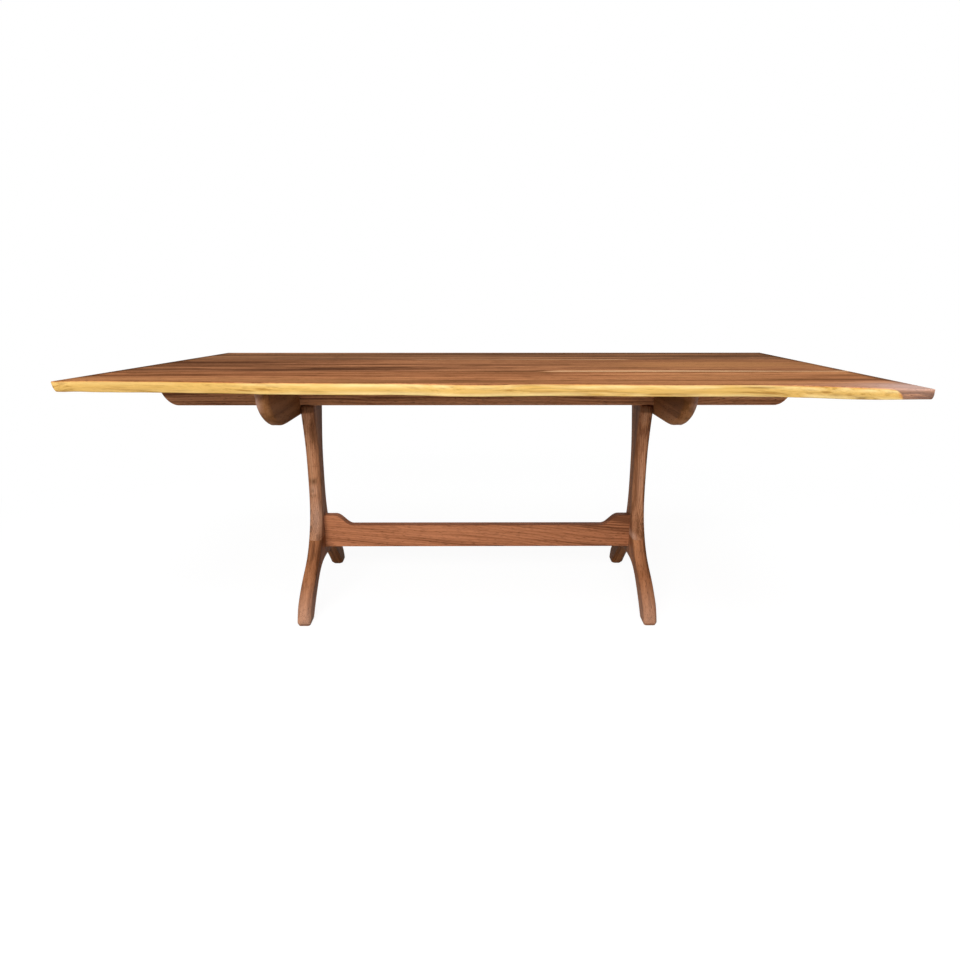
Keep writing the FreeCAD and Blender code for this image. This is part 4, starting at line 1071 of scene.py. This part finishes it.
steel = metal("zinc_steel", srgb(196, 196, 198), srgb(150, 150, 154), 0.28)
brass = metal("turned_brass", srgb(214, 180, 104), srgb(170, 132, 70), 0.25)
BARE_TONES = (srgb(176, 132, 86), srgb(206, 162, 112), srgb(226, 186, 138))
bare = walnut("bare_timber", ALONG_X, (0.1, 0.7, 0.4), (0.2, 0.2), 0.004, BARE_TONES, streaks=0.1, flecks=0.1)
FINISHES = {"steel": steel, "brass": brass, "inner_wood": bare}
slot_of = {row["node"]: row["material_slot"] for row in frame["record"]["subparts"]}
finished = [name for name in frame["nodes"] if slot_of[name] in FINISHES]
for name in finished:
    fitting = frame["nodes"][name].data
    fitting.materials.clear()
    fitting.materials.append(FINISHES[slot_of[name]])
print(len(finished), "solids finished")

# %% [markdown]
# The floor is pale and endless, as a studio's paper roll. A white plane alone would look grey, so rays
# from the camera, and from shiny things, see floor and world as white, with a faint shadow near the
# table; the light itself stays at a plain level.

# %% Floor
FLOOR = 14
WHITE_FROM = 1.5
WHITE_TO = 2.6


def paper_white(start, scale):
    """The scale for rays that look straight at the background or see it in a shiny surface, and else 0."""
    path = start.node("ShaderNodeLightPath", output="Is Camera Ray")
    seen = path.math("MAXIMUM", path, path.also("Is Glossy Ray"))
    return path.math("MAXIMUM", seen, path.also("Is Transmission Ray")) * scale


floor_mesh = bpy.data.meshes.new("floor")
floor_mesh.from_pydata(rows(*(SQUARE * FLOOR).T, 0.0), [], [(0, 1, 2, 3)])
floor = placed("floor", floor_mesh)
paper = bpy.data.materials.new("floor_paper")
paper.use_nodes = True
start = Field(paper.node_tree)
start.tree.nodes.clear()
place = start.node("ShaderNodeTexCoord", output="Object")
far = start.node("ShaderNodeVectorMath", {0: place}, {"operation": "LENGTH"}, 1)
matte = start.node("ShaderNodeBsdfDiffuse", {"Color": (0.6, 0.59, 0.57, 1)})
faint = start.node("ShaderNodeBsdfDiffuse", {"Color": (0.12, 0.12, 0.12, 1)})
glow = start.node("ShaderNodeEmission", {"Color": (0.93, 0.93, 0.93, 1)})
white = start.node("ShaderNodeEmission", {"Color": (1, 1, 1, 1)})
lit = start.node("ShaderNodeAddShader", {0: faint, 1: glow})
seen = start.node("ShaderNodeMixShader", {0: far.between(WHITE_FROM, WHITE_TO), 1: lit, 2: white})
whole = start.node("ShaderNodeMixShader", {0: paper_white(start, 1), 1: matte, 2: seen})
start.node("ShaderNodeOutputMaterial", {"Surface": whole})
floor_mesh.materials.append(paper)
print("floor is pure white from", WHITE_TO, "m on")

# %% [markdown]
# The light is soft and mostly from the front and above. Sun lamps would throw hard shadows; large area
# lamps act as a studio's softboxes do.

# %% Light
AMBIENT = 0.14
SOFTBOXES = [("key_box", (-1.2, -4.5, 2.5), (0, 0, 0.5), 3, 1.6, 225),
             ("high_box", (0.3, -1.6, 4.2), (0, 0, 0.7), 3.2, 2.2, 84),
             ("back_box", (0.8, 3.8, 2.2), (0, 0, 0.5), 3, 1.6, 25)]


def softbox(name, place, target, wide, high, power):
    """A rectangular area lamp at a place, turned towards a target."""
    lamp = bpy.data.lights.new(name, "AREA")
    lamp.shape = "RECTANGLE"
    lamp.size = wide
    lamp.size_y = high
    lamp.energy = power
    holder = placed(name, lamp)
    x, y, z = np.subtract(place, target)
    holder.location = place
    holder.rotation_euler = (math.atan2(math.hypot(x, y), z), 0, math.atan2(x, -y))


scene.view_settings.view_transform = "Standard"
world = bpy.data.worlds.new("studio")
scene.world = world
world.use_nodes = True
start = Field(world.node_tree)
start.tree.nodes.clear()
strength = paper_white(start, 1 - AMBIENT) + AMBIENT
dome = start.node("ShaderNodeBackground", {"Color": (1, 1, 1, 1), "Strength": strength})
start.node("ShaderNodeOutputWorld", {"Surface": dome})
for row in SOFTBOXES:
    softbox(*row)
print(len(SOFTBOXES), "softboxes")

# %% [markdown]
# The camera could be set by eye, but its place, tilt and lens were fitted to the feet, columns and rails
# in the photo, so that both can be compared.

# %% Camera
CAMERA_PLACE = (0.0004, -2.06, 0.9534)
LOOK_DOWN = 15.36
LOOK_ASIDE = -0.25
camera = bpy.data.cameras.new("camera")
camera.sensor_width = 36
camera.lens = 24.375
camera.clip_end = 100
viewer = placed("camera", camera)
viewer.location = MIDDLE + CAMERA_PLACE
viewer.rotation_euler = (math.radians(90 - LOOK_DOWN), 0, math.radians(LOOK_ASIDE))
scene.camera = viewer
print("camera at", tuple(viewer.location))
